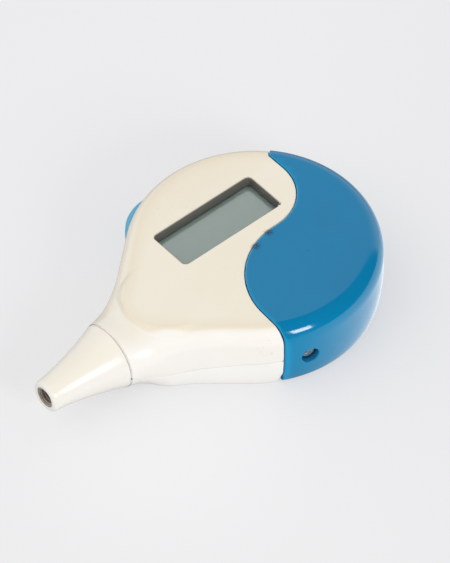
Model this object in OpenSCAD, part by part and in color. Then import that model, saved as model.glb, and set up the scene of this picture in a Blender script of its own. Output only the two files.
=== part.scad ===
// Ear thermometer: a flat round body with a tapered ear probe, a recessed display,
// a scan button on the side wall and a tail cap that slides off the coin cell.
// The origin lies on the resting plane, under the centre of the round body.
// +X runs to the tail, the probe points to -X, and the display lies on the +Y side.
// All sizes are in millimetres.

/* [Body] */
// Radius of the round body
body_r = 29.6; // [28:0.1:32]
// Height of the body
body_h = 17.5; // [17:0.1:19]
// Wall thickness of the casings
wall = 1.8; // [1.5:0.1:2]
// How far the top edge rounds in
top_round = 3.7; // [3.2:0.1:4.2]
// How far the top edge rounds down
top_drop = 4.4; // [3.6:0.1:5]
// How far the side wall tucks in at the bottom
under_in = 3; // [2.6:0.1:3.6]
// Height over which the side wall tucks in
under_h = 10; // [9:0.1:11]
// Angle between a straight flank and the long axis
flank_angle = 40.4; // [39:0.1:42]
// Radius of the top face's nose
nose_r = 9; // [8:0.1:11]
// How far the surface drops in front of that nose
nose_step = 0.6; // [0.3:0.05:0.7]

/* [Neck] */
// Distance from the body centre to the seam of the probe
ring_x = 43.4; // [42.5:0.1:46]
// Radius of the neck at that seam
ring_r = 8.1; // [7.8:0.1:8.4]
// Height of the probe axis
axis_z = 9.2; // [8.8:0.1:9.3]
// How fast the neck widens towards the body
neck_flare = 0.3; // [0.2:0.01:0.4]
// Width of the blend between neck and flank
neck_blend = 3; // [2:0.1:5]

/* [Parting line] */
// Height of the line along the round body
part_z = 7.1; // [6.8:0.1:7.4]
// How far the line dips under the neck
part_dip = 3.7; // [3.2:0.1:4]
// How far the line rises again at the probe seam
part_rise = 2.6; // [2:0.1:3]

/* [Probe] */
// Length of the probe nose in front of the seam
probe_l = 18.9; // [17.5:0.1:21]
// Radius of the probe at its tip
tip_r = 3.9; // [3.6:0.05:4.2]
// Radius of the rounded tip edge
tip_round = 0.9; // [0.6:0.05:1]
// Exponent of the hollow taper, where 1 is a plain cone
taper = 1.5; // [1.2:0.05:1.8]
// Outer radius of the waveguide tube
tube_r = 2.5; // [2.3:0.05:2.6]
// Wall thickness of the waveguide tube
tube_wall = 0.45; // [0.3:0.05:0.6]
// How far the tube sits behind the tip
tube_back = 0.25; // [0.1:0.05:0.5]
// Outer radius of the spigot that the casings hold
spigot_r = 6.5; // [6.3:0.05:6.6]
// Length of the spigot behind the seam
spigot_l = 6; // [5.8:0.1:6.6]

/* [Display] */
// Length of the window opening
window_l = 29.2; // [28:0.1:30]
// Width of the window opening
window_w = 11.8; // [11:0.1:12]
// Corner radius of the window opening
window_corner = 1.5; // [1:0.1:2]
// Depth of the recess down to the clear pane
window_depth = 2.8; // [2.6:0.1:3]
// Place of the window centre along the body
window_x = -2.6; // [-3:0.1:-2]
// Distance from the round edge of the body to the long outer edge of the window
window_edge = 13.8; // [13.6:0.1:14.1]
// Thickness of the clear pane
pane_t = 1; // [0.8:0.1:1.1]
// Thickness of the display glass
glass_t = 1.8; // [1.6:0.1:2]
// How far the display glass reaches past the window on each side
glass_edge = 1.9; // [1.6:0.1:2]

/* [Tail cap] */
// Wall thickness of the tail cap
cap_wall = 1.6; // [1.4:0.1:1.8]
// How far the cap stands proud of the casings
cap_proud = 0.3; // [0.2:0.05:0.4]
// Gap between the cap and the tongue inside it
cap_gap = 0.25; // [0.2:0.05:0.35]
// Width of the seam between the casings and the cap
seam_gap = 0.15; // [0.1:0.05:0.25]
// Direction in which the cap slides off, in degrees from +X
cap_turn = -38; // [-44:1:-32]

/* [Seam curve] */
// Centre of the casing's bulge along the body
bulge_x = 7.2; // [6.8:0.1:7.6]
// Centre of the casing's bulge across the body
bulge_y = 12.2; // [11.8:0.1:12.6]
// Radius of the casing's bulge
bulge_r = 12.3; // [12:0.1:12.6]
// Centre of the cap's bulge along the body
hollow_x = 5.9; // [5.4:0.1:6.4]
// Radius of the cap's bulge
hollow_r = 19.1; // [18.7:0.1:19.6]

/* [Cap screw] */
// Place of the screw round the body, in degrees from +X
screw_turn = -105; // [-107:1:-103]
// Height of the screw
screw_z = 7.6; // [7.3:0.1:7.9]
// Radius of the recess for the screw
recess_r = 2.25; // [2:0.05:2.4]
// Depth of the recess below the cap's surface
recess_depth = 2.7; // [2.4:0.1:3]
// Radius of the screw head
cap_head_r = 1.7; // [1.5:0.05:1.9]
// Height of the screw head
cap_head_h = 1.1; // [0.9:0.1:1.3]
// Radius of the screw shank
cap_shank_r = 1; // [0.8:0.05:1.1]

/* [Scan button] */
// Place of the button round the body, in degrees from +X
button_turn = 113; // [111:1:115]
// Length of the button along the wall
button_l = 16.4; // [15:0.1:17]
// Height of the button
button_h = 6; // [5.6:0.1:6.4]
// How far the button stands out of the wall
button_proud = 1.8; // [1.4:0.1:2.2]
// Clearance round the button
button_gap = 0.2; // [0.15:0.05:0.3]
// How far the button can be pressed
button_travel = 0.5; // [0.3:0.05:0.6]

/* [Electronics] */
// Height of the underside of the main board
board_z = 6.2; // [6:0.1:6.4]
// Thickness of the main board
board_t = 1.6; // [1.4:0.1:1.7]
// Radius of the coin cell
cell_r = 10; // [9.8:0.05:10.1]
// Thickness of the coin cell
cell_t = 3.2; // [2.5:0.1:3.3]
// Gap between the battery tray and the display holder
cell_space = 0.5; // [0.4:0.05:0.7]
// Width and length of the microcontroller
controller_w = 9; // [7:0.5:10]
// Radius of the buzzer
buzzer_r = 6; // [5:0.25:6.5]
// Height of the buzzer
buzzer_h = 2.7; // [2:0.1:2.8]
// Length of a capacitor
capacitor_l = 3.6; // [2.8:0.2:4]
// Length of the timing crystal
crystal_l = 6.4; // [5:0.2:7]

/* [Fasteners] */
// Radius of the casing screws' shanks
shank_r = 1; // [0.8:0.05:1.1]
// Radius of the casing screws' heads
head_r = 1.9; // [1.7:0.05:2]
// Height of the casing screws' heads
head_h = 1.4; // [1.2:0.1:1.5]
// Length of the casing screws under the head
shank_l = 10; // [8:0.1:10.2]
// Radius of the posts and bosses that the screws hold
post_r = 2.8; // [2.6:0.1:3]

/* [Hidden] */
$fn = 64;
fit = 0.05; // gap between fixed pieces that fit into each other
sa = sin(flank_angle);
ca = cos(flank_angle);
flat_r = body_r - top_round;
nose_x = -(flat_r - nose_r) / sa;
nose_tip = nose_x - nose_r;
neck_solid = ring_x - spigot_l - 0.3; // the casings are solid round the spigot, up to this x
nose_soft = 1.2; // how softly the top face's nose runs out into the neck
nose_edge = 1.2; // distance from the top face's nose to the start of the step in front of it
step_w = 1.6; // length over which that step drops
min_flat = 0.15; // the narrowest flat strip along the neck
arc_steps = 7; // facets in each rounded quarter of a section
cap_in = cap_wall - cap_proud;
tongue_out = cap_in + cap_gap;
tongue_in = tongue_out + 1.7;
inner_r = body_r - tongue_in; // radius of the room inside the tongue
seam_reach = bulge_r + hollow_r + 0.05; // distance between the centres of the two bulges
hollow_y = bulge_y - sqrt(seam_reach * seam_reach - (bulge_x - hollow_x) * (bulge_x - hollow_x));
flank_turn = 177; // direction of the straight end of the seam, seen from the cap's bulge
neck_from = 26; // distance from the centre at which the sections start to turn round
under_from = 30; // the same for their undersides
dip_from = 28; // distance at which the parting line starts to dip
dip_to = 37; // distance at which it is lowest
seam_land = 2.5; // overlap of the tongue and the casings along the seam
pane_z = body_h - window_depth - pane_t;
glass_z = pane_z - glass_t;
board_top = board_z + board_t;
window_y = body_r - window_edge - window_w / 2; // place of the window centre across the body
glass_l = window_l + 2 * glass_edge;
glass_w = window_w + 2 * glass_edge;
flange_edge = 1; // width of the bezel's flange past the window
holder_wall = 0.8;
button_z = board_top + 1.5;
button_flange_r = body_r - wall - 0.3;
button_flange_t = 1.2;
button_stem = 0.4; // how far the button's stem reaches in past its flange
plunger_out = button_travel + 0.7; // how far the plunger stands out of the switch
switch_w = 6;
switch_in = (window_y + window_w / 2 + glass_edge + fit + holder_wall + 0.2
    + switch_w / 2 * sin(button_turn - 90)) / cos(button_turn - 90); // clear of the display holder
plunger_x = button_flange_r - button_flange_t - button_stem - fit;
switch_face = plunger_x - plunger_out;
switch_depth = switch_face - switch_in; // the switch fills the room up to the display holder
plunger_in = 0.2 * switch_depth;
switch_h = 3.5;
cell_z = body_h - 2.6 - cell_t;
tray_floor = cell_z - 0.8;
tray_wall = 0.9;
tray_r = cell_r + 0.3 + tray_wall;
holder_edge = window_y - window_w / 2 - glass_edge - fit - holder_wall; // holder's edge near the cell
cell_off = inner_r - cell_r - 0.45; // distance of the coin cell from the centre
cell_turn = -asin((tray_r + cell_space - holder_edge) / cell_off); // as near the display as the tray allows
cell_x = cell_off * cos(cell_turn);
cell_y = cell_off * sin(cell_turn);
board_r = inner_r - 3.1;
board_front = body_r - 2.1; // distance of the board's front edge from the centre
post_x = window_x - glass_l / 2 - fit - holder_wall - post_r - 0.3;
post_off = inner_r - post_r - 0.3;
post_turn = 18;
head_seat = 3.4; // height of the faces that the casing screws pull on
posts = [[post_x, 9], [post_x, -9], [post_off * cos(post_turn), post_off * sin(post_turn)]];

// Plain helpers
function ramp(t) = let (u = min(max(t, 0), 1)) u * u * (3 - 2 * u);
function mix(a, b, t) = a + (b - a) * t;
function smooth_max(a, b, k) = let (h = max(k - abs(a - b), 0) / k) max(a, b) + h * h * k / 4;
function arc(centre, r, from, to, steps) =
    [for (i = [0:steps]) let (a = mix(from, to, i / steps)) centre + r * [cos(a), sin(a)]];

// Half width of a pear outline whose round end has radius r, at a place x along the body
function flank_y(r, x) = x > -r * sa ? sqrt(max(r * r - x * x, 0)) : (r + x * sa) / ca;

// Half width of the top face, whose round nose runs out softly into the neck
function softened(q) = (q + sqrt(q * q + nose_soft * nose_soft)) / 2;
function flat_y(x) =
    let (
        far = nose_r * (1 - sa), // distance from the tip to where the flank touches the nose
        q = x - nose_tip,
        s = softened(q) - (softened(far) - far) * min(max(q / far, 0), 1)
    )
    q > far ? flank_y(flat_r, x)
    : mix(sqrt(2 * nose_r * s - s * s), min_flat, ramp((nose_tip - x) / (ring_x + nose_tip)));

// Drop of the surface in front of the top face's nose, which fades out towards the probe
function nose_drop(x, y) =
    let (
        d = norm([x - nose_x, y]) - nose_r - nose_edge,
        fade = nose_tip - nose_edge - step_w
    )
    nose_step * ramp(d / step_w) * ramp((nose_x - x) / 3) * (1 - ramp((fade - x) / (ring_x + fade)));

// Half width of the side wall, drawn in by an inset, where the flank runs into the neck
function side_y(x, inset) =
    smooth_max(flank_y(body_r - inset, x), ring_r - inset + neck_flare * (x + ring_x), neck_blend);

// Height of the top and of the bottom along the centre line
function top_z(x, inset) =
    let (u = max(-x + nose_tip, 0) / (ring_x + nose_tip))
    body_h - inset - (body_h - axis_z - ring_r) * u * (2 - u);
function bottom_z(x, inset) =
    max(inset, 0) + (axis_z - ring_r) * ramp((-x - under_from) / (ring_x - under_from));

// Half of a cross-section, from the top edge round the side to the bottom edge, as [y, z]
function half_section(x, inset) =
    let (
        side = side_y(x, inset),
        flat = flat_y(x),
        top = top_z(x, inset),
        bottom = bottom_z(x, inset),
        neck = ramp((-x - neck_from) / (ring_x - neck_from)),
        under = ramp((-x - under_from) / (ring_x - under_from)),
        up_h = mix(max(top_drop - inset, 0.8), ring_r - inset - min_flat, neck),
        low_a = mix(max(under_in - inset, 0.8), side - min_flat, under),
        low_h = mix(under_h - inset, ring_r - inset - min_flat, neck)
    )
    concat(
        [for (p = arc([0, 0], 1, 90, 0, arc_steps))
            let (y = flat + (side - flat) * p[0])
            [y, top - up_h + (up_h - nose_drop(x, y)) * p[1]]],
        [for (p = arc([0, 0], 1, 0, -90, arc_steps))
            [side - low_a + low_a * p[0], bottom + low_h + low_h * p[1]]]
    );

function mirrored(points) =
    [for (i = [len(points) - 1:-1:0]) [-points[i][0], points[i][1]]];

// Closed solid through a row of sections that all have the same number of points
module loft(sections) {
    n = len(sections[0]);
    last = len(sections) - 1;
    polyhedron(
        points = [for (s = sections) for (p = s) p],
        faces = concat(
            [[for (i = [n - 1:-1:0]) i]],
            [for (j = [0:last - 1]) for (i = [0:n - 1])
                let (a = j * n + i, b = j * n + (i + 1) % n)
                each [[a, b, a + n], [b, b + n, a + n]]],
            [[for (i = [0:n - 1]) last * n + i]]
        ),
        convexity = 6
    );
}

// Places along the body where a section stands, closer together round the nose
function stations(start) =
    concat(
        [for (i = [0:6]) mix(start, nose_tip, i / 7)],
        [for (a = [0:10:60]) nose_x - nose_r * cos(a)],
        [for (i = [1:9]) mix(nose_x - nose_r * cos(60), 0, i / 9)]
    );

// The neck and body as far round as the tail, where the cap takes over.
// Sections stand square to the long axis up to the centre, then turn about it.
module body_form(inset, start) {
    loft(concat(
        [for (x = stations(start))
            let (half = half_section(x, inset))
            [for (p = concat(half, mirrored(half))) [x, p[0], p[1]]]],
        [for (turn = [82.5:-7.5:22.5])
            let (half = half_section(0, inset))
            [for (p = concat(half, mirrored(half))) [abs(p[0]) * cos(turn), p[0] * sin(turn), p[1]]]]
    ));
}

// A full round body with the same rim
module round_form(inset) {
    half = half_section(0, inset);
    rotate_extrude() polygon(concat([[0, half[0][1]]], half, [[0, half[len(half) - 1][1]]]));
}

// Outline of the seam, set back by a gap towards the tail, and everything behind it
module tail_side(gap) {
    bulge = [bulge_x, bulge_y];
    hollow = [hollow_x, hollow_y];
    between = hollow - bulge;
    turn = atan2(between[1], between[0]) + acos((bulge_r + hollow_r) / seam_reach);
    far = 60;
    leave = hollow + (hollow_r - gap) * [cos(flank_turn), sin(flank_turn)];
    down = (far + leave[1]) / cos(180 - flank_turn);
    polygon(concat(
        [[bulge_x + bulge_r + gap, far]],
        arc(bulge, bulge_r + gap, 0, turn, 12),
        arc(hollow, hollow_r - gap, turn + 180, flank_turn, 10),
        [leave + down * [-sin(180 - flank_turn), -cos(180 - flank_turn)]],
        [[far, -far], [far, far]]
    ));
}

module tail_prism(gap) {
    translate([0, 0, -1]) linear_extrude(body_h + 3) tail_side(gap);
}

// Everything below the wavy line where the two casings meet
function part_height(x) =
    part_z - part_dip * ramp((-x - dip_from) / (dip_to - dip_from))
    + part_rise * ramp((-x - dip_to) / (ring_x - dip_to));

module below_parting() {
    xs = concat([for (i = [0:6]) mix(-ring_x, -dip_to, i / 6)],
        [for (i = [1:10]) mix(-dip_to, -dip_from, i / 10)]);
    rotate([90, 0, 0])
        linear_extrude(90, center = true)
            polygon(concat(
                [[-ring_x - 5, -5], [-ring_x - 5, part_height(-ring_x)]],
                [for (x = xs) [x, part_height(x)]],
                [[60, part_z], [60, -5]]
            ));
}

module rounded(l, w, r) {
    square([l - 2 * r, w], center = true);
    square([l, w - 2 * r], center = true);
    for (sx = [-1, 1], sy = [-1, 1])
        translate([sx * (l / 2 - r), sy * (w / 2 - r)]) circle(r);
}

module at_window(z) {
    translate([window_x, window_y, z]) children();
}

// Frames whose X axis points straight out of the side wall
module at_wall(turn, z) {
    rotate([0, 0, turn]) translate([0, 0, z]) children();
}

// Frame whose Z axis runs from the probe seam to the tip
module at_probe(s = 0) {
    translate([-ring_x - s, 0, axis_z]) rotate([0, -90, 0]) children();
}

module ring(r_out, r_in, h) {
    difference() {
        cylinder(h = h, r = r_out);
        translate([0, 0, -1]) cylinder(h = h + 2, r = r_in);
    }
}

// Socket in the casings for the spigot and flange of the probe nose
flange_s = -2.6;
flange_t = 1.2;
flange_r = spigot_r + 0.6;
module probe_socket() {
    at_probe(-spigot_l - 1) cylinder(h = spigot_l + 6, r = spigot_r + fit);
    at_probe(flange_s - fit) cylinder(h = flange_t + 2 * fit, r = flange_r + fit);
}

// The way that a pin on the cap takes when the cap slides off, seen along the screw
module slide_way(tip_x, half, reach) {
    swing = cap_turn - screw_turn;
    lean = cos(swing) / sin(swing);
    at_wall(screw_turn, screw_z - half)
        linear_extrude(2 * half)
            polygon([[tip_x, -half], [body_r + 3, -half], [body_r + 3, reach],
                     [tip_x + lean * (reach - half), reach], [tip_x, half]]);
}

boss_r = 3.2;
boss_end = body_r - cap_in - 2.6; // inner end of the boss inside the cap
screw_seat = body_r + cap_proud - recess_depth;
screw_end = boss_end - 2.1;
way_gap = 0.4; // room round the boss on its way
way_l = 16; // length of the way, up to where the boss is clear of the casings
module cap_way() {
    slide_way(boss_end - way_gap, boss_r + way_gap, way_l);
    slide_way(screw_end - 0.3, cap_shank_r + way_gap / 2, way_l);
}

module screw_holes(r) {
    for (p = posts) translate([p[0], p[1], -1]) cylinder(h = shank_l + head_seat + 1.5, r = r);
}

// Opening in the side wall for the scan button
module button_way() {
    at_wall(button_turn, button_z) rotate([90, 0, 90]) linear_extrude(body_r + 5)
        rounded(button_l + 2 * button_gap, button_h + 2 * button_gap, button_h / 2 - 0.1);
}

module upper_casing() {
    color("#ece2ce") difference() {
        union() {
            difference() {
                body_form(0, -ring_x);
                body_form(wall, -neck_solid);
                tail_prism(0);
            }
            intersection() {
                difference() {
                    round_form(tongue_out);
                    round_form(tongue_in);
                }
                tail_prism(-seam_land);
            }
            for (p = posts) translate([p[0], p[1], board_top])
                cylinder(h = body_h - tongue_out - fit - board_top, r = post_r);
            fork_rib();
        }
        below_parting();
        probe_socket();
        screw_holes(shank_r + fit);
        at_window(0) linear_extrude(body_h + 1) rounded(window_l, window_w, window_corner);
        at_window(pane_z - fit) linear_extrude(pane_t + window_depth - wall + fit)
            rounded(window_l + 2 * flange_edge + 0.4, window_w + 2 * flange_edge + 0.4, window_corner);
        button_way();
        at_cell(0) cylinder(h = body_h, r = cell_r + 0.35);
        at_contact(0) translate([0, -2.2, 0]) cube([1.2, 4.4, body_h]);
        cap_way();
    }
}

// Fork that the tip of the cap screw slides into
fork_w = 8.4;
module fork_rib() {
    rib_in = screw_end;
    rib_out = boss_end - way_gap;
    at_wall(screw_turn, part_z)
        translate([rib_in, -fork_w / 2, 0])
            cube([rib_out - rib_in, fork_w, body_h - tongue_in - part_z + 0.5]);
}

module lower_casing() {
    color("#f1ebdf") difference() {
        union() {
            intersection() {
                union() {
                    difference() {
                        body_form(0, -ring_x);
                        body_form(wall, -neck_solid);
                        tail_prism(0);
                    }
                    intersection() {
                        difference() {
                            round_form(tongue_out);
                            round_form(tongue_in);
                        }
                        tail_prism(-seam_land);
                    }
                }
                below_parting();
            }
            for (p = posts) translate([p[0], p[1], tongue_out + fit])
                cylinder(h = board_z - tongue_out - fit, r = post_r);
        }
        probe_socket();
        screw_holes(shank_r + 0.15);
        for (p = posts) translate([p[0], p[1], -1]) cylinder(h = head_seat + 1, r = head_r + 0.1);
        button_way();
        cap_way();
    }
}

module tail_cap() {
    color("#2a86b8") difference() {
        union() {
            difference() {
                intersection() {
                    round_form(-cap_proud);
                    tail_prism(seam_gap);
                }
                round_form(cap_in);
            }
            at_wall(screw_turn, screw_z) rotate([0, 90, 0])
                translate([0, 0, boss_end]) cylinder(h = body_r - cap_in - boss_end + 0.4, r = boss_r);
        }
        at_wall(screw_turn, screw_z) rotate([0, 90, 0]) {
            translate([0, 0, screw_seat]) cylinder(h = recess_depth + 2, r = recess_r);
            translate([0, 0, boss_end - 1]) cylinder(h = recess_depth + 4, r = cap_shank_r + 0.07);
        }
    }
}

module cap_screw() {
    slot_w = 0.3 * cap_head_r;
    color("#c9cbcc") at_wall(screw_turn, screw_z) rotate([0, 90, 0]) difference() {
        union() {
            translate([0, 0, screw_seat + fit]) cylinder(h = cap_head_h, r = cap_head_r);
            translate([0, 0, screw_end]) cylinder(h = screw_seat - screw_end + 1, r = cap_shank_r);
        }
        for (a = [45, 135]) translate([0, 0, screw_seat + fit + cap_head_h]) rotate([0, 0, a])
            cube([1.65 * cap_head_r, slot_w, cap_head_h], center = true);
    }
}

module scan_button() {
    half = button_h / 2;
    soft = 1.6; // radius of the rounded long edges
    crown_r = 24; // radius of the outer face, seen from above
    edge = 0.8; // width of the flange that keeps the button in
    color("#62a8d2") at_wall(button_turn, button_z) {
        intersection() {
            rotate([90, 0, 90]) linear_extrude(body_r + 5) rounded(button_l, button_h, half - 0.3);
            translate([body_r + button_proud - crown_r, 0, 0]) rotate_extrude() polygon(concat(
                [[0, -half]], arc([crown_r - soft, soft - half], soft, -90, 0, 5),
                arc([crown_r - soft, half - soft], soft, 0, 90, 5), [[0, half]]));
            difference() {
                translate([0, -button_l, -button_h]) cube([body_r + 5, 2 * button_l, 2 * button_h]);
                translate([0, 0, -button_h]) cylinder(h = 2 * button_h, r = button_flange_r - 0.6);
            }
        }
        intersection() {
            translate([0, 0, -half - edge])
                ring(button_flange_r, button_flange_r - button_flange_t, button_h + 2 * edge);
            translate([0, -button_l / 2 - edge, -button_h])
                cube([body_r, button_l + 2 * edge, 2 * button_h]);
        }
        translate([plunger_x + fit, -2, -1.5]) cube([button_stem + button_flange_t - 0.3, 4, 3]);
    }
}

function nose_profile() =
    [for (i = [0:10]) let (s = (probe_l - tip_round) * i / 10)
        [tip_r + (ring_r - tip_r) * pow(1 - s / probe_l, taper), s]];

block_r = 5.2;
block_front = 3.2;
block_back = -5;
module probe_nose() {
    color("#f3efe4") at_probe() rotate_extrude() difference() {
        union() {
            polygon(concat(
                [[0, 0]], nose_profile(),
                arc([tip_r - tip_round, probe_l - tip_round], tip_round, 15, 90, 5),
                [[0, probe_l]]
            ));
            translate([0, -spigot_l]) square([spigot_r, spigot_l + 1]);
            translate([0, flange_s]) square([flange_r, flange_t]);
        }
        translate([-1, -spigot_l - 1]) square([1 + block_r + fit, spigot_l + 1 + block_front]);
        polygon([[0, block_front - 1], [block_r + fit, block_front - 1], [block_r + fit, block_front],
                 [tube_r + fit, block_front + 3.5], [0, block_front + 3.5]]);
        translate([-1, 0]) square([1 + tube_r + fit, probe_l + 1]);
        translate([spigot_r - 0.6, -5.4]) square([2, 1.2]);
    }
}

module neck_seal() {
    color("#2c2c2e") at_probe(-5.35) ring(spigot_r + fit - 0.02, spigot_r - 0.58, 1.1);
}

module waveguide_tube() {
    color("#b9b1a2") at_probe(-0.9) ring(tube_r, tube_r - tube_wall, probe_l - tube_back + 0.9);
}

can_r = 2.35;
can_flange_r = 2.75;
module sensor_block() {
    color("#a9acaf") at_probe() rotate_extrude() difference() {
        translate([0, block_back]) square([block_r, block_front - block_back]);
        translate([-1, -1]) square([1 + tube_r + fit, 10]);
        translate([-1, -3.6]) square([1 + can_r + fit, 4]);
        translate([-1, block_back - 1]) square([1 + can_flange_r + fit, 2.4]);
    }
}

module thermopile_can() {
    color("#cfccc0") at_probe() rotate_extrude() {
        translate([0, -3.6]) square([can_r, 2.5]);
        translate([0, -4.3]) square([can_flange_r, 0.7]);
    }
}

module sensor_pins() {
    color("#c8b070") for (a = [45:90:315]) at_probe(-7)
        rotate([0, 0, a]) translate([1.3, 0, 0]) cylinder(h = 2.7, r = 0.22);
}

module sensor_board() {
    color("#2e6b45") at_probe(-6.2) difference() {
        cylinder(h = 1, r = 4.6);
        for (a = [45:90:315]) rotate([0, 0, a]) translate([1.3, 0, -1]) cylinder(h = 3, r = 0.25);
    }
}

// Four short leads from the sensor board down to the front edge of the main board
wire_r = 0.3;
wire_from = [spigot_l + 0.26 - ring_x, axis_z + 2.4];
wire_to = [-board_front + 0.8, board_top + wire_r + 0.02];
wire_route = [for (i = [0:8])
    [mix(wire_from[0], wire_to[0], i / 8), mix(wire_from[1], wire_to[1], ramp(i / 8))]];
module sensor_wires() {
    last = len(wire_route) - 1;
    color("#b5442f") for (y = [-2.4:1.6:2.4]) loft([for (i = [0:last])
        let (
            p = wire_route[i],
            step = wire_route[min(i + 1, last)] - wire_route[max(i - 1, 0)],
            t = step / norm(step)
        )
        [for (a = [0:45:315])
            [p[0] + wire_r * sin(a) * t[1], y + wire_r * cos(a), p[1] - wire_r * sin(a) * t[0]]]]);
}

module display_bezel() {
    lip = window_w - 0.1;
    color("#5f5f5c") at_window(pane_z + pane_t) difference() {
        union() {
            linear_extrude(window_depth - wall - fit)
                rounded(window_l + 2 * flange_edge, window_w + 2 * flange_edge, window_corner);
            linear_extrude(window_depth - 0.1) rounded(window_l - 0.1, lip, window_corner);
        }
        translate([0, 0, -1]) linear_extrude(window_depth + 2)
            rounded(window_l - 1, window_w - 1, window_corner - 0.4);
    }
}

module display_window() {
    color("#cfd8d4", 0.5) at_window(pane_z) linear_extrude(pane_t)
        rounded(window_l + 2 * flange_edge, window_w + 2 * flange_edge, window_corner);
}

module display_glass() {
    color("#96a3a0") at_window(glass_z) {
        translate([-glass_l / 2, -glass_w / 2, 0]) cube([glass_l, glass_w, glass_t / 2]);
        translate([-glass_l / 2, -glass_w / 2 + 1.2, glass_t / 2 - 0.01])
            cube([glass_l, glass_w - 2.4, glass_t / 2 + 0.01]);
    }
}

strip_w = 1.8;
module display_holder() {
    outer_l = glass_l + 2 * (fit + holder_wall);
    outer_w = glass_w + 2 * (fit + holder_wall);
    color("#e4e4e0") at_window(board_top) difference() {
        linear_extrude(glass_z + glass_t - board_top) rounded(outer_l, outer_w, 1);
        translate([-glass_l / 2 - fit, -glass_w / 2 - fit, glass_z - board_top])
            cube([glass_l + 2 * fit, glass_w + 2 * fit, glass_t + 1]);
        for (s = [-1, 1])
            translate([-glass_l / 2 + 1, s * (glass_w / 2 - 0.4 - strip_w / 2) - strip_w / 2 - fit, -1])
                cube([glass_l - 2, strip_w + 2 * fit, 20]);
        translate([-glass_l / 2 + 2, -glass_w / 2 + 3.4, -1]) cube([glass_l - 4, glass_w - 6.8, 20]);
    }
}

module connector_strips() {
    color("#d98fa0") at_window(board_top) for (s = [-1, 1])
        translate([-glass_l / 2 + 1 + fit, s * (glass_w / 2 - 0.4 - strip_w / 2) - strip_w / 2, 0])
            cube([glass_l - 2 - 2 * fit, strip_w, glass_z - board_top]);
}

module main_board() {
    edge = (body_r - wall - board_front * sa) / ca - 0.7; // half width of the front edge
    color("#2f7a4c") translate([0, 0, board_z]) linear_extrude(board_t) difference() {
        union() {
            circle(board_r);
            polygon([[-10, 17], [-board_front, edge], [-board_front, -edge], [-10, -17]]);
            translate(posts[2]) circle(post_r);
            rotate(button_turn) translate([switch_in - 2, -switch_w / 2 - 0.5])
                square([switch_depth + 2.2, switch_w + 1]);
        }
        for (p = posts) translate(p) circle(shank_r + 0.15);
    }
}

module chip(l, w, h, legs) {
    translate([-l / 2, -w / 2, 0.15]) cube([l, w, h]);
    for (s = [-1, 1], i = [0:legs - 1])
        translate([s * (l / 2 + 0.3), w * ((i + 0.5) / legs - 0.5), 0.2])
            cube([0.8, 0.4, 0.4], center = true);
}

// Chips and other pieces hang from the underside of the board.
// Their places are shares of the board's radius.
module under_board(u, v, turn = 0) {
    translate([u * board_r, v * board_r, board_z]) rotate([180, 0, turn]) children();
}

module microcontroller() {
    color("#26282a") under_board(-0.13, 0.3) chip(controller_w, controller_w, 1.3, 8);
}

module memory_chip() {
    color("#303234") under_board(-0.645, -0.26, 90)
        chip(0.45 * controller_w, 0.55 * controller_w, 1.4, 4);
}

module timing_crystal() {
    color("#c4c6c8") under_board(0.3, 0.6, 20) rotate([0, 90, 0])
        translate([-1.1, 0, -crystal_l / 2]) cylinder(h = crystal_l, r = 1);
}

module capacitors() {
    w = 0.6 * capacitor_l;
    color("#c98a3a") for (place = [[-0.6, 0.52, 0], [-0.77, 0.13, 90], [0.21, -0.82, 30]])
        under_board(place[0], place[1], place[2])
            translate([-capacitor_l / 2, -w / 2, 0]) cube([capacitor_l, w, capacitor_l / 2]);
}

module buzzer() {
    color("#1f2022") under_board(-0.17, -0.43) difference() {
        cylinder(h = buzzer_h, r = buzzer_r);
        translate([0, 0, buzzer_h - 0.7]) cylinder(h = 2, r = 0.15 * buzzer_r);
    }
}

plunger_w = 3;
module switch_body() {
    color("#3a3b3d") at_wall(button_turn, board_top) difference() {
        translate([switch_in, -switch_w / 2, 0]) cube([switch_depth, switch_w, switch_h]);
        translate([switch_face - plunger_in - button_travel - 0.1, -plunger_w / 2 - fit,
                   switch_h / 2 - 0.75 - fit])
            cube([switch_depth, plunger_w + 2 * fit, 1.5 + 2 * fit]);
    }
}

module switch_plunger() {
    color("#d8d4c8") at_wall(button_turn, board_top)
        translate([switch_face - plunger_in, -plunger_w / 2, switch_h / 2 - 0.75])
            cube([plunger_in + plunger_out, plunger_w, 1.5]);
}

contact_turn = 130;
module at_cell(z) {
    translate([cell_x, cell_y, z]) children();
}

// Frame at the rim of the cell, whose X axis points away from the cell
module at_contact(z) {
    at_cell(z) rotate([0, 0, contact_turn]) translate([cell_r, 0, 0]) children();
}

module battery_tray() {
    pocket_r = tray_r - tray_wall;
    color("#4a4c4e") difference() {
        intersection() {
            union() {
                at_cell(tray_floor - tray_wall)
                    cylinder(h = body_h - tongue_in - fit - tray_floor + tray_wall, r = tray_r);
                for (a = [20:120:260]) at_cell(board_top) rotate([0, 0, a])
                    translate([pocket_r - 1.6, 0, 0]) cylinder(h = tray_floor - board_top, r = 1.5);
            }
            cylinder(h = body_h, r = min(inner_r, flat_r) - 0.1);
        }
        at_cell(tray_floor) cylinder(h = body_h, r = pocket_r);
        at_contact(board_z) translate([-0.7, -2.2, 0]) cube([3, 4.4, body_h]);
    }
}

module coin_cell() {
    lip_r = cell_r - 1.2;
    color("#c6c8ca") at_cell(cell_z) rotate_extrude() polygon([
        [0, 0], [lip_r, 0], [lip_r + 0.2, 0.5], [cell_r - 0.4, 0.5], [cell_r, 0.9],
        [cell_r, cell_t - 0.3], [cell_r - 0.3, cell_t], [0, cell_t]]);
}

module positive_contact() {
    leaf = 0.3;
    top = cell_z + cell_t + fit - board_top; // height of the tab over the cell
    color("#d4c9a4") at_contact(board_top) {
        translate([fit, -2, 0]) cube([leaf, 4, top + leaf]);
        translate([-0.6, -1.4, top]) cube([0.9, 2.8, leaf]);
        translate([fit, -2, 0]) cube([1.6, 4, leaf]);
    }
}

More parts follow.
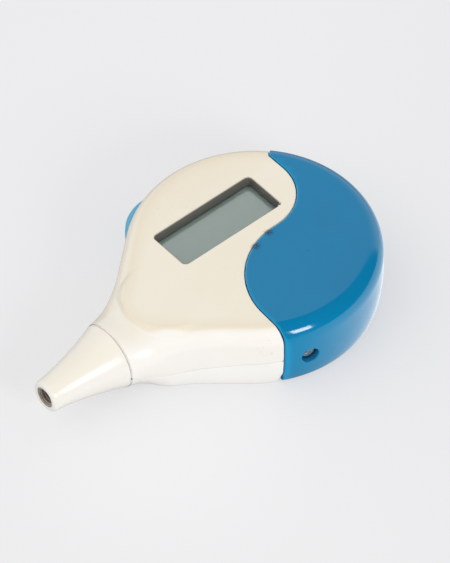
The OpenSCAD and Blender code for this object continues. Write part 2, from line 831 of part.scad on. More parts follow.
module negative_contact() {
    leaf = 0.3;
    color("#d4c9a4") at_cell(tray_floor) {
        cylinder(h = leaf, r = 3);
        for (a = [0:120:240]) rotate([0, 0, a]) translate([2, -0.9, 0]) {
            cube([4.6, 1.8, leaf]);
            translate([3.6, 0, 0]) cube([1, 1.8, cell_z - tray_floor - fit]);
        }
    }
}

module casing_screws() {
    color("#aeb0b2") for (p = posts) translate([p[0], p[1], head_seat]) difference() {
        union() {
            cylinder(h = shank_l, r = shank_r);
            translate([0, 0, -head_h]) cylinder(h = head_h, r = head_r);
        }
        for (a = [0, 90]) rotate([0, 0, a]) translate([0, 0, -head_h])
            cube([1.26 * head_r, 0.26 * head_r, head_h], center = true);
    }
}

upper_casing();
lower_casing();
tail_cap();
cap_screw();
scan_button();
probe_nose();
neck_seal();
waveguide_tube();
sensor_block();
thermopile_can();
sensor_pins();
sensor_board();
sensor_wires();
display_bezel();
display_window();
display_glass();
display_holder();
connector_strips();
main_board();
microcontroller();
memory_chip();
timing_crystal();
capacitors();
buzzer();
switch_body();
switch_plunger();
battery_tray();
coin_cell();
positive_contact();
negative_contact();
casing_screws();
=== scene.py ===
import math
import bpy
import numpy as np
from mathutils import Matrix, Vector


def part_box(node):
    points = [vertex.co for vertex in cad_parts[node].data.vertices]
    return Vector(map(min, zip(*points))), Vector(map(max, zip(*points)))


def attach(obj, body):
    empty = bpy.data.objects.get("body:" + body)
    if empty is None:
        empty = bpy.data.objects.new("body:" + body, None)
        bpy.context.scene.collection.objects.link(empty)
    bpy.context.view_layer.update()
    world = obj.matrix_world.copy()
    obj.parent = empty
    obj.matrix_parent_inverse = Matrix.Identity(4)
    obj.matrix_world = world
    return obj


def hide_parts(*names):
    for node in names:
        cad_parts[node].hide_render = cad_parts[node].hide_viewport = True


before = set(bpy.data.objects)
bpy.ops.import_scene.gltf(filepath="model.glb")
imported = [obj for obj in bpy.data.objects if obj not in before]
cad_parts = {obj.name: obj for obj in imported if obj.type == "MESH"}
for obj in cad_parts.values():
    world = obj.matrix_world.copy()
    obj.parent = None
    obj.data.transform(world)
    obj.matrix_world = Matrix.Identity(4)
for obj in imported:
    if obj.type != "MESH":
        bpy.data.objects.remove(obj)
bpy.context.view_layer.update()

mm = 0.001
print("stage: frame loaded")

def newObject(name, data):
    made = bpy.data.objects.new(name, data)
    bpy.context.scene.collection.objects.link(made)
    return made


# camera and light
view = {
    "photoHeight": 563, "focalPixels": 6011.67,          # focal length on the photo's pixel grid
    "distance": 1390.3, "target": (-3.511, 6.168, 0.0),  # mm
    "azimuth": 40.113, "elevation": 48.519, "roll": 0.531,
}
keyLamp = {"direction": (-0.045, -0.921, 0.46), "distance": 1.2, "width": 0.30, "height": 0.38,
           "radiance": 15.5, "colour": (1.0, 0.99, 0.98)}


def makeCamera():
    data = bpy.data.cameras.new("camera")
    data.lens = view["focalPixels"] * data.sensor_width / view["photoHeight"]
    data.clip_start, data.clip_end = 0.05, 20
    a, e = math.radians(view["azimuth"]), math.radians(view["elevation"])
    forward = Vector((math.sin(a) * math.cos(e), math.cos(a) * math.cos(e), -math.sin(e)))
    right = Vector((math.cos(a), -math.sin(a), 0))
    turn = Matrix((right, right.cross(forward), -forward)).transposed().to_4x4()
    place = Matrix.Translation((Vector(view["target"]) - forward * view["distance"]) * mm)
    camera = newObject("camera", data)
    camera.matrix_world = place @ turn @ Matrix.Rotation(-math.radians(view["roll"]), 4, "Z")
    bpy.context.scene.camera = camera


def makeLamp():
    data = bpy.data.lights.new("frontBox", "AREA")
    data.shape = "RECTANGLE"
    data.size, data.size_y = keyLamp["width"], keyLamp["height"]
    data.energy = keyLamp["radiance"] * math.pi * data.size * data.size_y
    data.color = keyLamp["colour"]
    toward = Vector(keyLamp["direction"]).normalized()
    lamp = newObject("frontBox", data)
    lamp.location = toward * keyLamp["distance"]
    lamp.rotation_euler = toward.to_track_quat("Z", "Y").to_euler()


makeCamera()
makeLamp()
bpy.context.scene.view_settings.view_transform = "Standard"
print("stage: camera and lamp")

# node trees written as sums
class Sock:
    def __init__(self, tree, socket):
        self.tree, self.socket = tree, socket

    def calc(self, operation, a, b, clamp=False):
        return self.tree.node("Math", {"operation": operation, "use_clamp": clamp}, {0: a, 1: b})

    def __add__(self, other): return self.calc("ADD", self, other)
    def __radd__(self, other): return self.calc("ADD", other, self)
    def __sub__(self, other): return self.calc("SUBTRACT", self, other)
    def __rsub__(self, other): return self.calc("SUBTRACT", other, self)
    def __mul__(self, other): return self.calc("MULTIPLY", self, other)
    def __rmul__(self, other): return self.calc("MULTIPLY", other, self)
    def __truediv__(self, other): return self.calc("DIVIDE", self, other)
    def clamped(self): return self.calc("ADD", self, 0.0, True)

    def band(self, low, high):           # 0 below low, 1 above high, smooth between
        return self.tree.node("MapRange", {"interpolation_type": "SMOOTHSTEP"},
                              {0: self, 1: low, 2: high, 3: 0.0, 4: 1.0})


class Tree:
    def __init__(self, owner):
        owner.use_nodes = True
        self.owner, self.tree = owner, owner.node_tree
        self.tree.nodes.clear()

    def node(self, kind, settings, values, out=0):
        made = self.tree.nodes.new("ShaderNode" + kind)
        for key, value in settings.items():
            setattr(made, key, value)
        for key, value in values.items():
            if isinstance(value, Sock):
                self.tree.links.new(value.socket, made.inputs[key])
            else:
                made.inputs[key].default_value = value
        return Sock(self, made.outputs[out] if len(made.outputs) else None)

    def place(self, stretch=(1, 1, 1), shift=(0, 0, 0)):     # object space, stretched
        spot = self.node("TexCoord", {}, {}, "Object")
        return self.node("Mapping", {}, {"Vector": spot, "Scale": stretch, "Location": shift})

    def noise(self, scale, detail=3.0, rough=0.5, at=None):
        return self.node("TexNoise", {}, {"Vector": at or self.place(), "Scale": scale,
                                          "Detail": detail, "Roughness": rough}, "Fac")

    def vector(self, operation, a, b=(0, 0, 0), out="Value"):
        return self.node("VectorMath", {"operation": operation}, {0: a, 1: b}, out)

    def blend(self, factor, a, b, how="MIX"):                # colours go through Mix
        return self.node("Mix", {"data_type": "RGBA", "blend_type": how, "clamp_factor": True},
                         {0: factor, 6: a, 7: b}, 2)

    def attribute(self, name):
        return self.node("Attribute", {"attribute_name": name}, {}, "Fac")

    def bump(self, height, distance):
        return self.node("Bump", {}, {"Height": height, "Distance": distance, "Strength": 1.0})

    def finish(self, surface):
        self.node("OutputMaterial", {}, {"Surface": surface})
        return self.owner

    def principled(self, **values):
        named = {"colour": "Base Color", "coat": "Coat Weight", "coatRough": "Coat Roughness"}
        values = {named.get(key, key.capitalize()): value for key, value in values.items()}
        return self.finish(self.node("BsdfPrincipled", {}, values))


def rgb(r, g, b):                        # screen colour 0..255 to a linear one
    def linear(c):
        c /= 255
        return c / 12.92 if c <= 0.04045 else ((c + 0.055) / 1.055) ** 2.4
    return (linear(r), linear(g), linear(b), 1.0)


def material(name):
    return Tree(bpy.data.materials.new(name))


# finishes
moulded = {
    # name: colour, second tone, share of it, roughness, grain depth, colour of dirt and of painted shade
    "creamGloss": (rgb(235, 227, 210), rgb(229, 218, 196), 0.55, 0.16, 1.0e-6, rgb(92, 74, 54)),
    "creamPale": (rgb(236, 229, 213), rgb(230, 220, 200), 0.55, 0.17, 1.0e-6, rgb(92, 74, 54)),
    "probeWhite": (rgb(236, 230, 217), rgb(231, 223, 207), 0.45, 0.24, 0.8e-6, rgb(110, 96, 74)),
    "capBlue": (rgb(1, 119, 165), rgb(1, 112, 157), 0.50, 0.09, 0.6e-6, rgb(10, 24, 34)),
    "buttonBlue": (rgb(92, 172, 206), rgb(76, 160, 196), 0.50, 0.50, 1.5e-6, rgb(30, 60, 80)),
    "holderWhite": (rgb(222, 222, 216), rgb(208, 208, 200), 0.5, 0.45, 3e-6, rgb(120, 116, 104)),
    "trayGrey": (rgb(66, 69, 72), rgb(54, 57, 60), 0.5, 0.48, 5e-6, rgb(30, 28, 26)),
    "frameGrey": (rgb(106, 106, 100), rgb(92, 92, 87), 0.5, 0.42, 2e-6, rgb(40, 38, 34)),
    "plungerWhite": (rgb(214, 208, 194), rgb(200, 194, 180), 0.5, 0.4, 2e-6, rgb(110, 100, 80)),
    "chipBlack": (rgb(40, 41, 43), rgb(31, 32, 34), 0.6, 0.55, 4e-6, rgb(20, 20, 20)),
    "stripPink": (rgb(214, 140, 156), rgb(196, 120, 138), 0.5, 0.6, 3e-6, rgb(120, 80, 80)),
    "capacitorTan": (rgb(190, 130, 60), rgb(168, 112, 48), 0.5, 0.5, 3e-6, rgb(90, 60, 30)),
    "sealRubber": (rgb(44, 44, 46), rgb(34, 34, 36), 0.5, 0.7, 6e-6, rgb(20, 20, 20)),
    "wireRed": (rgb(178, 60, 44), rgb(150, 48, 36), 0.5, 0.45, 3e-6, rgb(80, 30, 20)),
}
wear = {"creamGloss": (0.8, 0.8), "creamPale": (0.4, 0.5), "probeWhite": (0.25, 0.3),
        "capBlue": (0.25, 0.35)}         # scuffs, specks
tones = {
    # painted light: paler colours for the lit walls of these three finishes
    "creamGloss": rgb(240, 237, 231), "creamPale": rgb(242, 240, 236), "probeWhite": rgb(236, 233, 227),
    "creaseShade": rgb(226, 214, 190),        # painted shade just inside the edge of the flat top
    # painted light: the cap's walls lit lighter than its top, and a painted highlight on its edge by the
    # seam
    "capLitWall": rgb(1, 129, 174), "capEdgeHighlight": rgb(8, 152, 202), "capHighlightShare": 0.85,
    "smudges": ((3.7, -0.9, 17.6), (-1.3, -2.2, 17.6)), "rubbed": (-7, 17, 17.5),     # places in mm
    "frameCoat": 0.1,
}


def mouldedFinish(name):
    base, second, share, rough, grain, dirtAndShade = moulded[name]
    scuffs, specks = wear.get(name, (0, 0))
    t = material(name)
    grimeAndShade, paintedLight = t.attribute("grimeAndShade"), t.attribute("paintedLight")
    cloud = t.noise(26, 4, 0.55).band(0.35, 0.7)
    fine = t.noise(420, 2, 0.6)
    colour = t.blend(cloud * share + (fine - 0.5) * 0.10, base, second)
    faceUp = t.node("SeparateXYZ", {}, {0: t.node("NewGeometry", {}, {}, "Normal")}, "Z")

    def near(place, inner, outer):       # 1 at a place given in mm, 0 away from it
        spot = tuple(c * mm for c in place)
        return 1 - t.vector("DISTANCE", t.place(), spot).band(inner, outer)

    if name in tones:                    # painted light: walls paler and whiter than the top, where the lamp lights them
        steep = 1 - faceUp.band(0.2, 0.9)
        outside = paintedLight.band(0.7, 1.9) * (1 - faceUp.band(0.7, 1.0) * 0.6)
        walls = steep if name == "probeWhite" else outside
        colour = t.blend(walls, colour, t.blend(cloud * 0.3, tones[name], base))
    if name == "creamGloss":
        # painted shade: a darker band just inside the edge of the flat top
        inner = paintedLight.band(-2.6, 0.8) * (1 - paintedLight.band(0.8, 1.5))
        colour = t.blend(inner * 0.5, colour, tones["creaseShade"])
    if name == "capBlue":
        # painted light: the cap's walls lighter than its top
        colour = t.blend(1 - faceUp.band(0.1, 0.8), colour, tones["capLitWall"])
        # painted highlight along the cap's rounded edge beside the seam
        colour = t.blend(paintedLight * tones["capHighlightShare"], colour, tones["capEdgeHighlight"])
    if name in ("capBlue", "creamGloss"):
        for place in tones["smudges"]:   # dark smudges rubbed across the seam
            hairs = t.noise(1.0, 2, 0.6, t.place((2600, 5200, 900))).band(0.43, 0.52)
            colour = t.blend(near(place, 0.0003, 0.0016) * hairs, colour, dirtAndShade)
    worn = 0.0
    if scuffs:                           # short hair scratches in two directions
        long = t.noise(1.0, 2, 0.4, t.place((900, 5200, 900))).band(0.66, 0.72)
        short = t.noise(1.0, 2, 0.4, t.place((4300, 700, 900), (3, 1, 2))).band(0.69, 0.74)
        patch = t.noise(75, 2, 0.5, t.place(shift=(0.3, 0.1, 0))).band(0.52, 0.68)
        patch = (patch + near(tones["rubbed"], 0.002, 0.005)).clamped()
        worn = (long + short).clamped() * patch * scuffs
        colour = t.blend(worn * 0.30, colour, dirtAndShade)
        cell = t.node("TexVoronoi", {}, {"Vector": t.place(), "Scale": 330}, "Distance")
        rare = t.noise(210, 1, 0.5, t.place(shift=(0.7, 0.2, 0.1))).band(0.60, 0.66)
        colour = t.blend((1 - cell.band(0.045, 0.085)) * rare * specks, colour, dirtAndShade)
    # dirt, and painted shade deep in gaps and recesses
    colour = t.blend((grimeAndShade * (0.75 + 0.5 * fine)).clamped(), colour, dirtAndShade)
    height = t.noise(2600, 2, 0.6) + t.noise(90, 2, 0.5) * 2.0
    return t.principled(
        colour=colour, roughness=rough + (fine - 0.5) * 0.08 + cloud * 0.03 + worn * 0.2 + grimeAndShade * 0.4,
        coat=(1 - grimeAndShade) * (tones["frameCoat"] if name == "frameGrey" else 0.0), coatRough=0.06,
        normal=t.bump(height - worn * 1.5, grain))


metals = {
    # name: colour, darker tone, roughness, length of the brush lines, stain colour, share of stain
    "steel": (rgb(238, 239, 240), rgb(190, 192, 196), 0.22, 40, rgb(112, 84, 62), 0.25),
    "tubeMetal": (rgb(228, 216, 204), rgb(176, 160, 146), 0.34, 12, rgb(92, 66, 50), 0.45),
    "blockMetal": (rgb(168, 170, 172), rgb(128, 130, 132), 0.38, 12, rgb(100, 96, 90), 0.2),
    "contactMetal": (rgb(206, 190, 150), rgb(170, 152, 112), 0.32, 12, rgb(110, 84, 52), 0.3),
    "canMetal": (rgb(190, 184, 168), rgb(140, 134, 120), 0.30, 12, rgb(90, 80, 64), 0.2),
}


def metalFinish(name):
    base, dark, rough, brush, stain, share = metals[name]
    t = material(name)
    grimeAndShade = t.attribute("grimeAndShade")
    lines = t.noise(1.0, 3, 0.7, t.place((brush * 60, brush * 8, brush * 200)))
    cloud = t.noise(700, 3, 0.6)
    spots = t.noise(1500, 4, 0.65, t.place(shift=(0.2, 0.5, 0.9))).band(0.58, 0.68)
    colour = t.blend(lines * 0.5 + cloud * 0.4, base, dark)
    colour = t.blend(spots * share, colour, stain)
    # stain and rust, and painted shade deeper in the bore
    colour = t.blend(grimeAndShade.clamped(), colour, stain)
    return t.principled(
        colour=colour, metallic=0.8 - (grimeAndShade * 0.5 + spots * share).clamped() * 0.8,
        roughness=rough + lines * 0.12 + spots * 0.2 + grimeAndShade * 0.3, normal=t.bump(lines, 4e-6))


def boardFinish(name):
    t = material(name)
    spot = t.place()
    weave = t.node("TexChecker", {}, {"Vector": spot, "Scale": 1600.0, "Color1": (1, 1, 1, 1),
                                      "Color2": (0, 0, 0, 1)}, "Fac")
    tracks = t.node("TexBrick", {"offset": 0.5}, {
        "Vector": spot, "Scale": 260.0, "Color1": (0, 0, 0, 1), "Color2": (0, 0, 0, 1),
        "Mortar": (1, 1, 1, 1), "Mortar Size": 0.035, "Brick Width": 0.9, "Row Height": 0.4}, "Color")
    line = t.node("RGBToBW", {}, {"Color": tracks}) * t.noise(120, 1, 0.5).band(0.48, 0.56)
    colour = t.blend(weave * 0.25 + t.noise(60) * 0.3, rgb(38, 104, 62), rgb(26, 82, 46))
    colour = t.blend(line * 0.7, colour, rgb(70, 140, 84))
    return t.principled(colour=colour, roughness=0.34 + weave * 0.05, coat=0.4, coatRough=0.15,
                        normal=t.bump(line + weave * 0.1, 2e-5))


def panelFinish(name):                   # the blank liquid crystal panel
    t = material(name)
    edge = t.attribute("grimeAndShade")
    grain = t.noise(5200, 1, 0.5)
    haze = t.noise(38, 2, 0.5, t.place(shift=(0.02, 0.4, 0)))
    colour = t.blend(grain * 0.25 + haze * 0.35, rgb(198, 213, 208), rgb(185, 199, 195))
    # painted shadow of the well's walls along the panel's edges
    colour = t.blend(edge, colour, rgb(156, 160, 160))
    return t.principled(colour=colour, roughness=0.42 + grain * 0.1, normal=t.bump(grain, 1e-6))


def paneFinish(name):                    # the clear pane: a see-through sheet with a gloss
    t = material(name)
    clear = t.node("BsdfTransparent", {}, {"Color": (0.93, 0.95, 0.94, 1)})
    dust = t.noise(900, 4, 0.7).band(0.45, 0.8)
    scratch = t.noise(1.0, 2, 0.4, t.place((600, 5200, 900))).band(0.66, 0.72)
    gloss = t.node("BsdfGlossy", {}, {"Color": (1, 1, 1, 1), "Roughness": 0.06 + dust * 0.12,
                                      "Normal": t.bump(scratch, 1e-6)})
    shine = t.node("Fresnel", {}, {"IOR": 1.46})
    mixed = t.node("MixShader", {}, {0: (shine * 0.9 + dust * 0.02).clamped(), 1: clear, 2: gloss})
    return t.finish(mixed)


cellLow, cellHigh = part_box("coin_cell")
cellMiddle = (cellLow + cellHigh) / 2


def cellFinish(name):                    # coin cell: fine ring-turned steel
    t = material(name)
    level = t.vector("MULTIPLY", t.place(shift=-cellMiddle), (1, 1, 0), "Vector")
    reach = t.vector("LENGTH", level)
    rings = t.noise(1.0, 1, 0.4, t.node("CombineXYZ", {}, {"X": reach * 9000}))
    swirl = t.noise(160, 3, 0.6)
    colour = t.blend(rings * 0.4 + swirl * 0.3, rgb(204, 205, 206), rgb(162, 164, 168))
    return t.principled(colour=colour, metallic=0.95 + rings * 0.05,
                        roughness=0.24 + rings * 0.12 + swirl * 0.06, normal=t.bump(rings, 4e-6))


finishes = {"board": boardFinish("board"), "panel": panelFinish("panel"),
            "pane": paneFinish("pane"), "cell": cellFinish("cell")}
finishes.update((name, mouldedFinish(name)) for name in moulded)
finishes.update((name, metalFinish(name)) for name in metals)
print("stage: finishes")

# the shapes of the body, as functions of the place along it
body = {
    "radius": 29.6, "height": 17.5, "wall": 1.8,
    "topIn": 3.7, "topDown": 4.4,        # how far the top edge rounds in and down
    "underIn": 1.3, "underUp": 10.0,     # how far the wall tucks in, and over what height
    "flank": 40.4, "noseRadius": 9.0, "noseSoft": 1.2,
    "noseEdge": 0.9, "stepWidth": 1.7, "noseStep": 0.95,
    "ringX": 43.4, "ringRadius": 8.1, "axisZ": 9.2,      # where the probe joins the neck
    "flare": 0.21, "grow": 0.0072, "growOver": 10.0, "blend": 2.4,
    "neckFrom": 26.0, "underFrom": 33.0, "minFlat": 0.15,
    # x and height of the wavy parting line
    "parting": ((-44, 8.7), (-40.5, 6.2), (-37, 5.1), (-33, 4.9), (-28, 6.3), (-21, 7.5), (-14, 8.0),
                (30, 8.0)),
}
sinFlank, cosFlank = math.sin(math.radians(body["flank"])), math.cos(math.radians(body["flank"]))
flatRadius = body["radius"] - body["topIn"]
noseX = -(flatRadius - body["noseRadius"]) / sinFlank
noseTip = noseX - body["noseRadius"]
ringX, ringRadius, axisZ = body["ringX"], body["ringRadius"], body["axisZ"]


def ramp(t):
    u = np.clip(t, 0, 1)
    return u * u * (3 - 2 * u)


def lerp(a, b, t):
    return a + (b - a) * t


def flankY(r, x):
    disc = np.sqrt(np.maximum(r * r - x * x, 0))
    return np.where(x > -r * sinFlank, disc, (r + x * sinFlank) / cosFlank)


def softened(q):
    return (q + np.sqrt(q * q + body["noseSoft"] ** 2)) / 2


def flatY(x):
    r = body["noseRadius"]
    far = r * (1 - sinFlank)
    q = x - noseTip
    s = softened(q) - (softened(far) - far) * np.clip(q / far, 0, 1)
    nose = lerp(np.sqrt(np.maximum(2 * r * s - s * s, 0)), body["minFlat"],
                ramp((noseTip - x) / (ringX + noseTip)))
    return np.where(q > far, flankY(flatRadius, x), nose)


def sideY(x, inset):
    d = x + ringX                        # the neck flares slowly at first
    near = np.minimum(d, body["growOver"])
    a, k = flankY(body["radius"] - inset, x), body["blend"]
    b = ringRadius - inset + body["flare"] * d + body["grow"] * near * (2 * d - near)
    h = np.maximum(k - np.abs(a - b), 0) / k
    return np.maximum(a, b) + h * h * k / 4


def noseDrop(x, y):
    d = np.hypot(x - noseX, y) - body["noseRadius"] - body["noseEdge"]
    fade = noseTip - body["noseEdge"] - body["stepWidth"]
    return body["noseStep"] * ramp(d / body["stepWidth"]) * ramp((noseX + 3 - x) / 8) * (
        1 - ramp((fade - x) / (ringX + fade)))


partX = np.arange(-50, 40, 0.1)
partZ = np.interp(partX, *zip(*body["parting"]))
partZ = np.convolve(np.pad(partZ, 15, mode="edge"), np.ones(31) / 31, "valid")


def partHeight(x):                       # height of the parting line of the two casings
    return np.interp(x, partX, partZ)


steps = {"flat": 14, "arc": 22, "wall": 4, "under": 18, "floor": 10}


def halfSection(x, inset):               # rows of y and z from the top middle to the bottom middle
    x = np.asarray(x, float)[:, None]
    side, flat = sideY(x, inset), flatY(x)
    u = np.maximum(-x + noseTip, 0) / (ringX + noseTip)
    top = body["height"] - inset - (body["height"] - axisZ - ringRadius) * u * (2 - u)
    under = ramp((-x - body["underFrom"]) / (ringX - body["underFrom"]))
    bottom = max(inset, 0) + (axisZ - ringRadius) * under
    neck = ramp((-x - body["neckFrom"]) / (ringX - body["neckFrom"]))
    upH = lerp(max(body["topDown"] - inset, 0.8), ringRadius - inset - body["minFlat"], neck)
    lowA = lerp(max(body["underIn"] - inset, 0.8), side - body["minFlat"], under)
    lowH = lerp(body["underUp"] - inset, ringRadius - inset - body["minFlat"], neck)
    a = np.radians(np.linspace(90, 0, steps["arc"] + 1))[None, :]
    b = np.radians(np.linspace(0, -90, steps["under"] + 1))[None, :]
    s = np.linspace(0, 1, steps["flat"] + 1)[None, :-1]
    w = np.linspace(0, 1, steps["wall"] + 1)[None, 1:-1]
    f = np.linspace(1, 0, steps["floor"] + 1)[None, 1:]
    y = np.hstack([flat * s, flat + (side - flat) * np.cos(a), side + 0 * w,
                   side - lowA + lowA * np.cos(b), (side - lowA) * f])
    z = np.hstack([top + 0 * s, top - upH + upH * np.sin(a), lerp(top - upH, bottom + lowH, w),
                   bottom + lowH + lowH * np.sin(b), bottom + 0 * f])
    lift = np.hstack([1 + 0 * s, np.sin(a), 0 * w, 0 * b, 0 * f])
    return y, z - noseDrop(x, y) * lift


def pastFlat(p):                         # mm past the edge of the flat top, negative inside it
    x, y = p[:, 0], np.abs(p[:, 1])
    disc = np.hypot(x, y) - flatRadius
    flank = y * cosFlank - x * sinFlank - flatRadius
    tip = (x - noseX) * cosFlank + y * sinFlank
    nose = np.hypot(x - noseX, y) - body["noseRadius"] - body["noseEdge"] * ramp(-tip / 5)
    beyond = np.where(x * cosFlank + y * sinFlank > 0, disc, np.where(tip > 0, flank, nose))
    farSide = lerp(5, 1.15, ramp(p[:, 1] / 6))           # the painted pale walls fade out on the far side, which stays creamier
    return np.minimum(np.clip(beyond, -5, 5), farSide)


def sheetNormals(points, outward=1):
    across, along = np.gradient(points, axis=1), np.gradient(points, axis=0)
    n = np.cross(along, across) * outward
    size = np.linalg.norm(n, axis=2, keepdims=True)
    return n / np.maximum(size, 1e-12), size[..., 0]


def turned(inset, turns):                # the section of the middle, swung round
    y, z = halfSection([0.0], inset)
    t = np.radians(turns)[:, None]
    return np.stack([y * np.cos(t), y * np.sin(t), np.repeat(z, len(turns), 0)], 2)


def oneSheet(points, outward, flip):     # where the sheet shrinks to a point it faces up or down
    normals, size = sheetNormals(points, outward)
    shrunk = size < 1e-9
    normals[shrunk] = np.where(points[shrunk][:, 2:] > axisZ, (0, 0, 1), (0, 0, -1))
    return points, normals, flip


def bodySheets(inset, xs, turns):        # the two mirrored halves of the pear-shaped body
    y, z = halfSection(xs, inset)
    straight = np.stack([np.repeat(np.asarray(xs)[:, None], y.shape[1], 1), y, z], 2)
    half = np.concatenate([straight, turned(inset, turns)])
    return [oneSheet(half * (1, side, 1), side, side < 0) for side in (1, -1)]


def roundSheets(inset, turns):           # a full disc with the same rim
    return [oneSheet(turned(inset, turns), -1, True)]


# distance fields that cut the skins; each is positive where the skin is removed
seam = {"bulge": (7.2, 12.2), "bulgeRadius": 12.3, "hollowX": 5.9, "hollowRadius": 19.1,
        "flankTurn": 177.0, "slack": 0.05, "gap": 0.15, "bendFrom": 17.4, "bend": 0.95}
bulge = np.array(seam["bulge"])
seamReach = seam["bulgeRadius"] + seam["hollowRadius"] + seam["slack"]
hollowY = bulge[1] - math.sqrt(seamReach ** 2 - (bulge[0] - seam["hollowX"]) ** 2)
hollow = np.array([seam["hollowX"], hollowY])
between = (hollow - bulge) / np.linalg.norm(hollow - bulge)
rightOf = np.array([-between[1], between[0]])
flankTurn = math.radians(seam["flankTurn"])
flankOut = np.array([math.cos(flankTurn), math.sin(flankTurn)])


def tailField(p):                        # distance past the seam, towards the tail
    q = p[:, :2]
    fromBulge = np.linalg.norm(q - bulge, axis=1) - seam["bulgeRadius"]
    bend = np.maximum(q[:, 1] - seam["bendFrom"], 0) * seam["bend"]      # the seam's far end turns aside
    straight = q[:, 0] - bulge[0] - seam["bulgeRadius"] - bend
    right = np.where(q[:, 1] < bulge[1], fromBulge, straight)
    rel = q - hollow
    turn = np.degrees(np.arctan2(rel[:, 1], rel[:, 0])) % 360
    left = np.where(turn < seam["flankTurn"], seam["hollowRadius"] - np.linalg.norm(rel, axis=1),
                    seam["hollowRadius"] - rel @ flankOut)
    return np.where((q - bulge) @ rightOf > 0, right, left)


def boxField(u, v, halfU, halfV, r):     # rounded rectangle, positive inside
    du, dv = np.abs(u) - halfU + r, np.abs(v) - halfV + r
    return r - np.hypot(np.maximum(du, 0), np.maximum(dv, 0)) - np.minimum(np.maximum(du, dv), 0)


display = {"x": -2.6, "y": 9.9, "length": 29.2, "width": 11.8, "corner": 1.25, "depth": 2.5,
           "frameDown": 0.45}
button = {"turn": 113.0, "z": 9.3, "length": 14.8, "shift": 0.8, "height": 6.0, "proud": 2.3,
          "gap": 0.2, "cornerLess": 0.3, "crown": 11.0, "bow": 0.035, "soft": 1.5, "deep": 3.4,
          "rimOver": 0.4}
capScrew = {"turn": -105.0, "z": 7.6, "recess": 2.1, "depth": 2.7, "lift": 0.05, "tip": 23.6,
            "head": 1.7, "headHeight": 1.1, "shank": 1.0, "cross": (0.30, 0.75, 1.15), "crossTurn": 31.0}
casingScrew = {"posts": ((-23.3, 9.0), (-23.3, -9.0), (22.11, 7.18)), "hole": 2.0, "seat": 3.4,
               "length": 10.0, "head": 1.9, "headHeight": 1.4, "shank": 1.0, "cross": (0.30, 0.7, 1.2)}
coinHole = 10.35
bossWay = {"shift": 6.5, "halfLength": 10.1, "halfHeight": 3.6}      # lets the boss of the cap pass
wallFrom = 9.0                           # side holes start this far from the middle


def wallFrame(turn):
    a = math.radians(turn)
    return np.array([math.cos(a), math.sin(a), 0]), np.array([-math.sin(a), math.cos(a), 0])


def sideHole(turn, shape):               # shape is given along the wall and upwards
    out, side = wallFrame(turn)
    return lambda p: np.minimum(shape(p @ side, p[:, 2]), p @ out - wallFrom)


def uprightHole(x, y, radius, sign):     # through the top with sign 1, through the bottom with -1
    return lambda p: np.minimum(radius - np.hypot(p[:, 0] - x, p[:, 1] - y), sign * (p[:, 2] - axisZ))


def windowField(p):
    inside = boxField(p[:, 0] - display["x"], p[:, 1] - display["y"], display["length"] / 2,
                      display["width"] / 2, display["corner"])
    return np.minimum(inside, p[:, 2] - axisZ)


slotField = sideHole(button["turn"], lambda u, z: boxField(
    u - button["shift"], z - button["z"], button["length"] / 2 + button["gap"],
    button["height"] / 2 + button["gap"], button["height"] / 2 - 0.1))
recessField = sideHole(capScrew["turn"], lambda u, z: capScrew["recess"] - np.hypot(
    u, z - capScrew["z"]))
wayField = sideHole(capScrew["turn"], lambda u, z: boxField(
    u - bossWay["shift"], z - capScrew["z"], bossWay["halfLength"], bossWay["halfHeight"], 0.1))
postFields = [uprightHole(x, y, casingScrew["hole"], -1) for x, y in casingScrew["posts"]]
coinField = uprightHole(cellMiddle.x / mm, cellMiddle.y / mm, coinHole, 1)


# skins: points in mm, each with its own normal and a share of dirt and painted shade
def unit(v):
    return v / np.maximum(np.linalg.norm(v, axis=-1, keepdims=True), 1e-9)


def varying(value):                      # a value that may be given as a function of the place
    return value if callable(value) else lambda p: np.full(len(p), value)


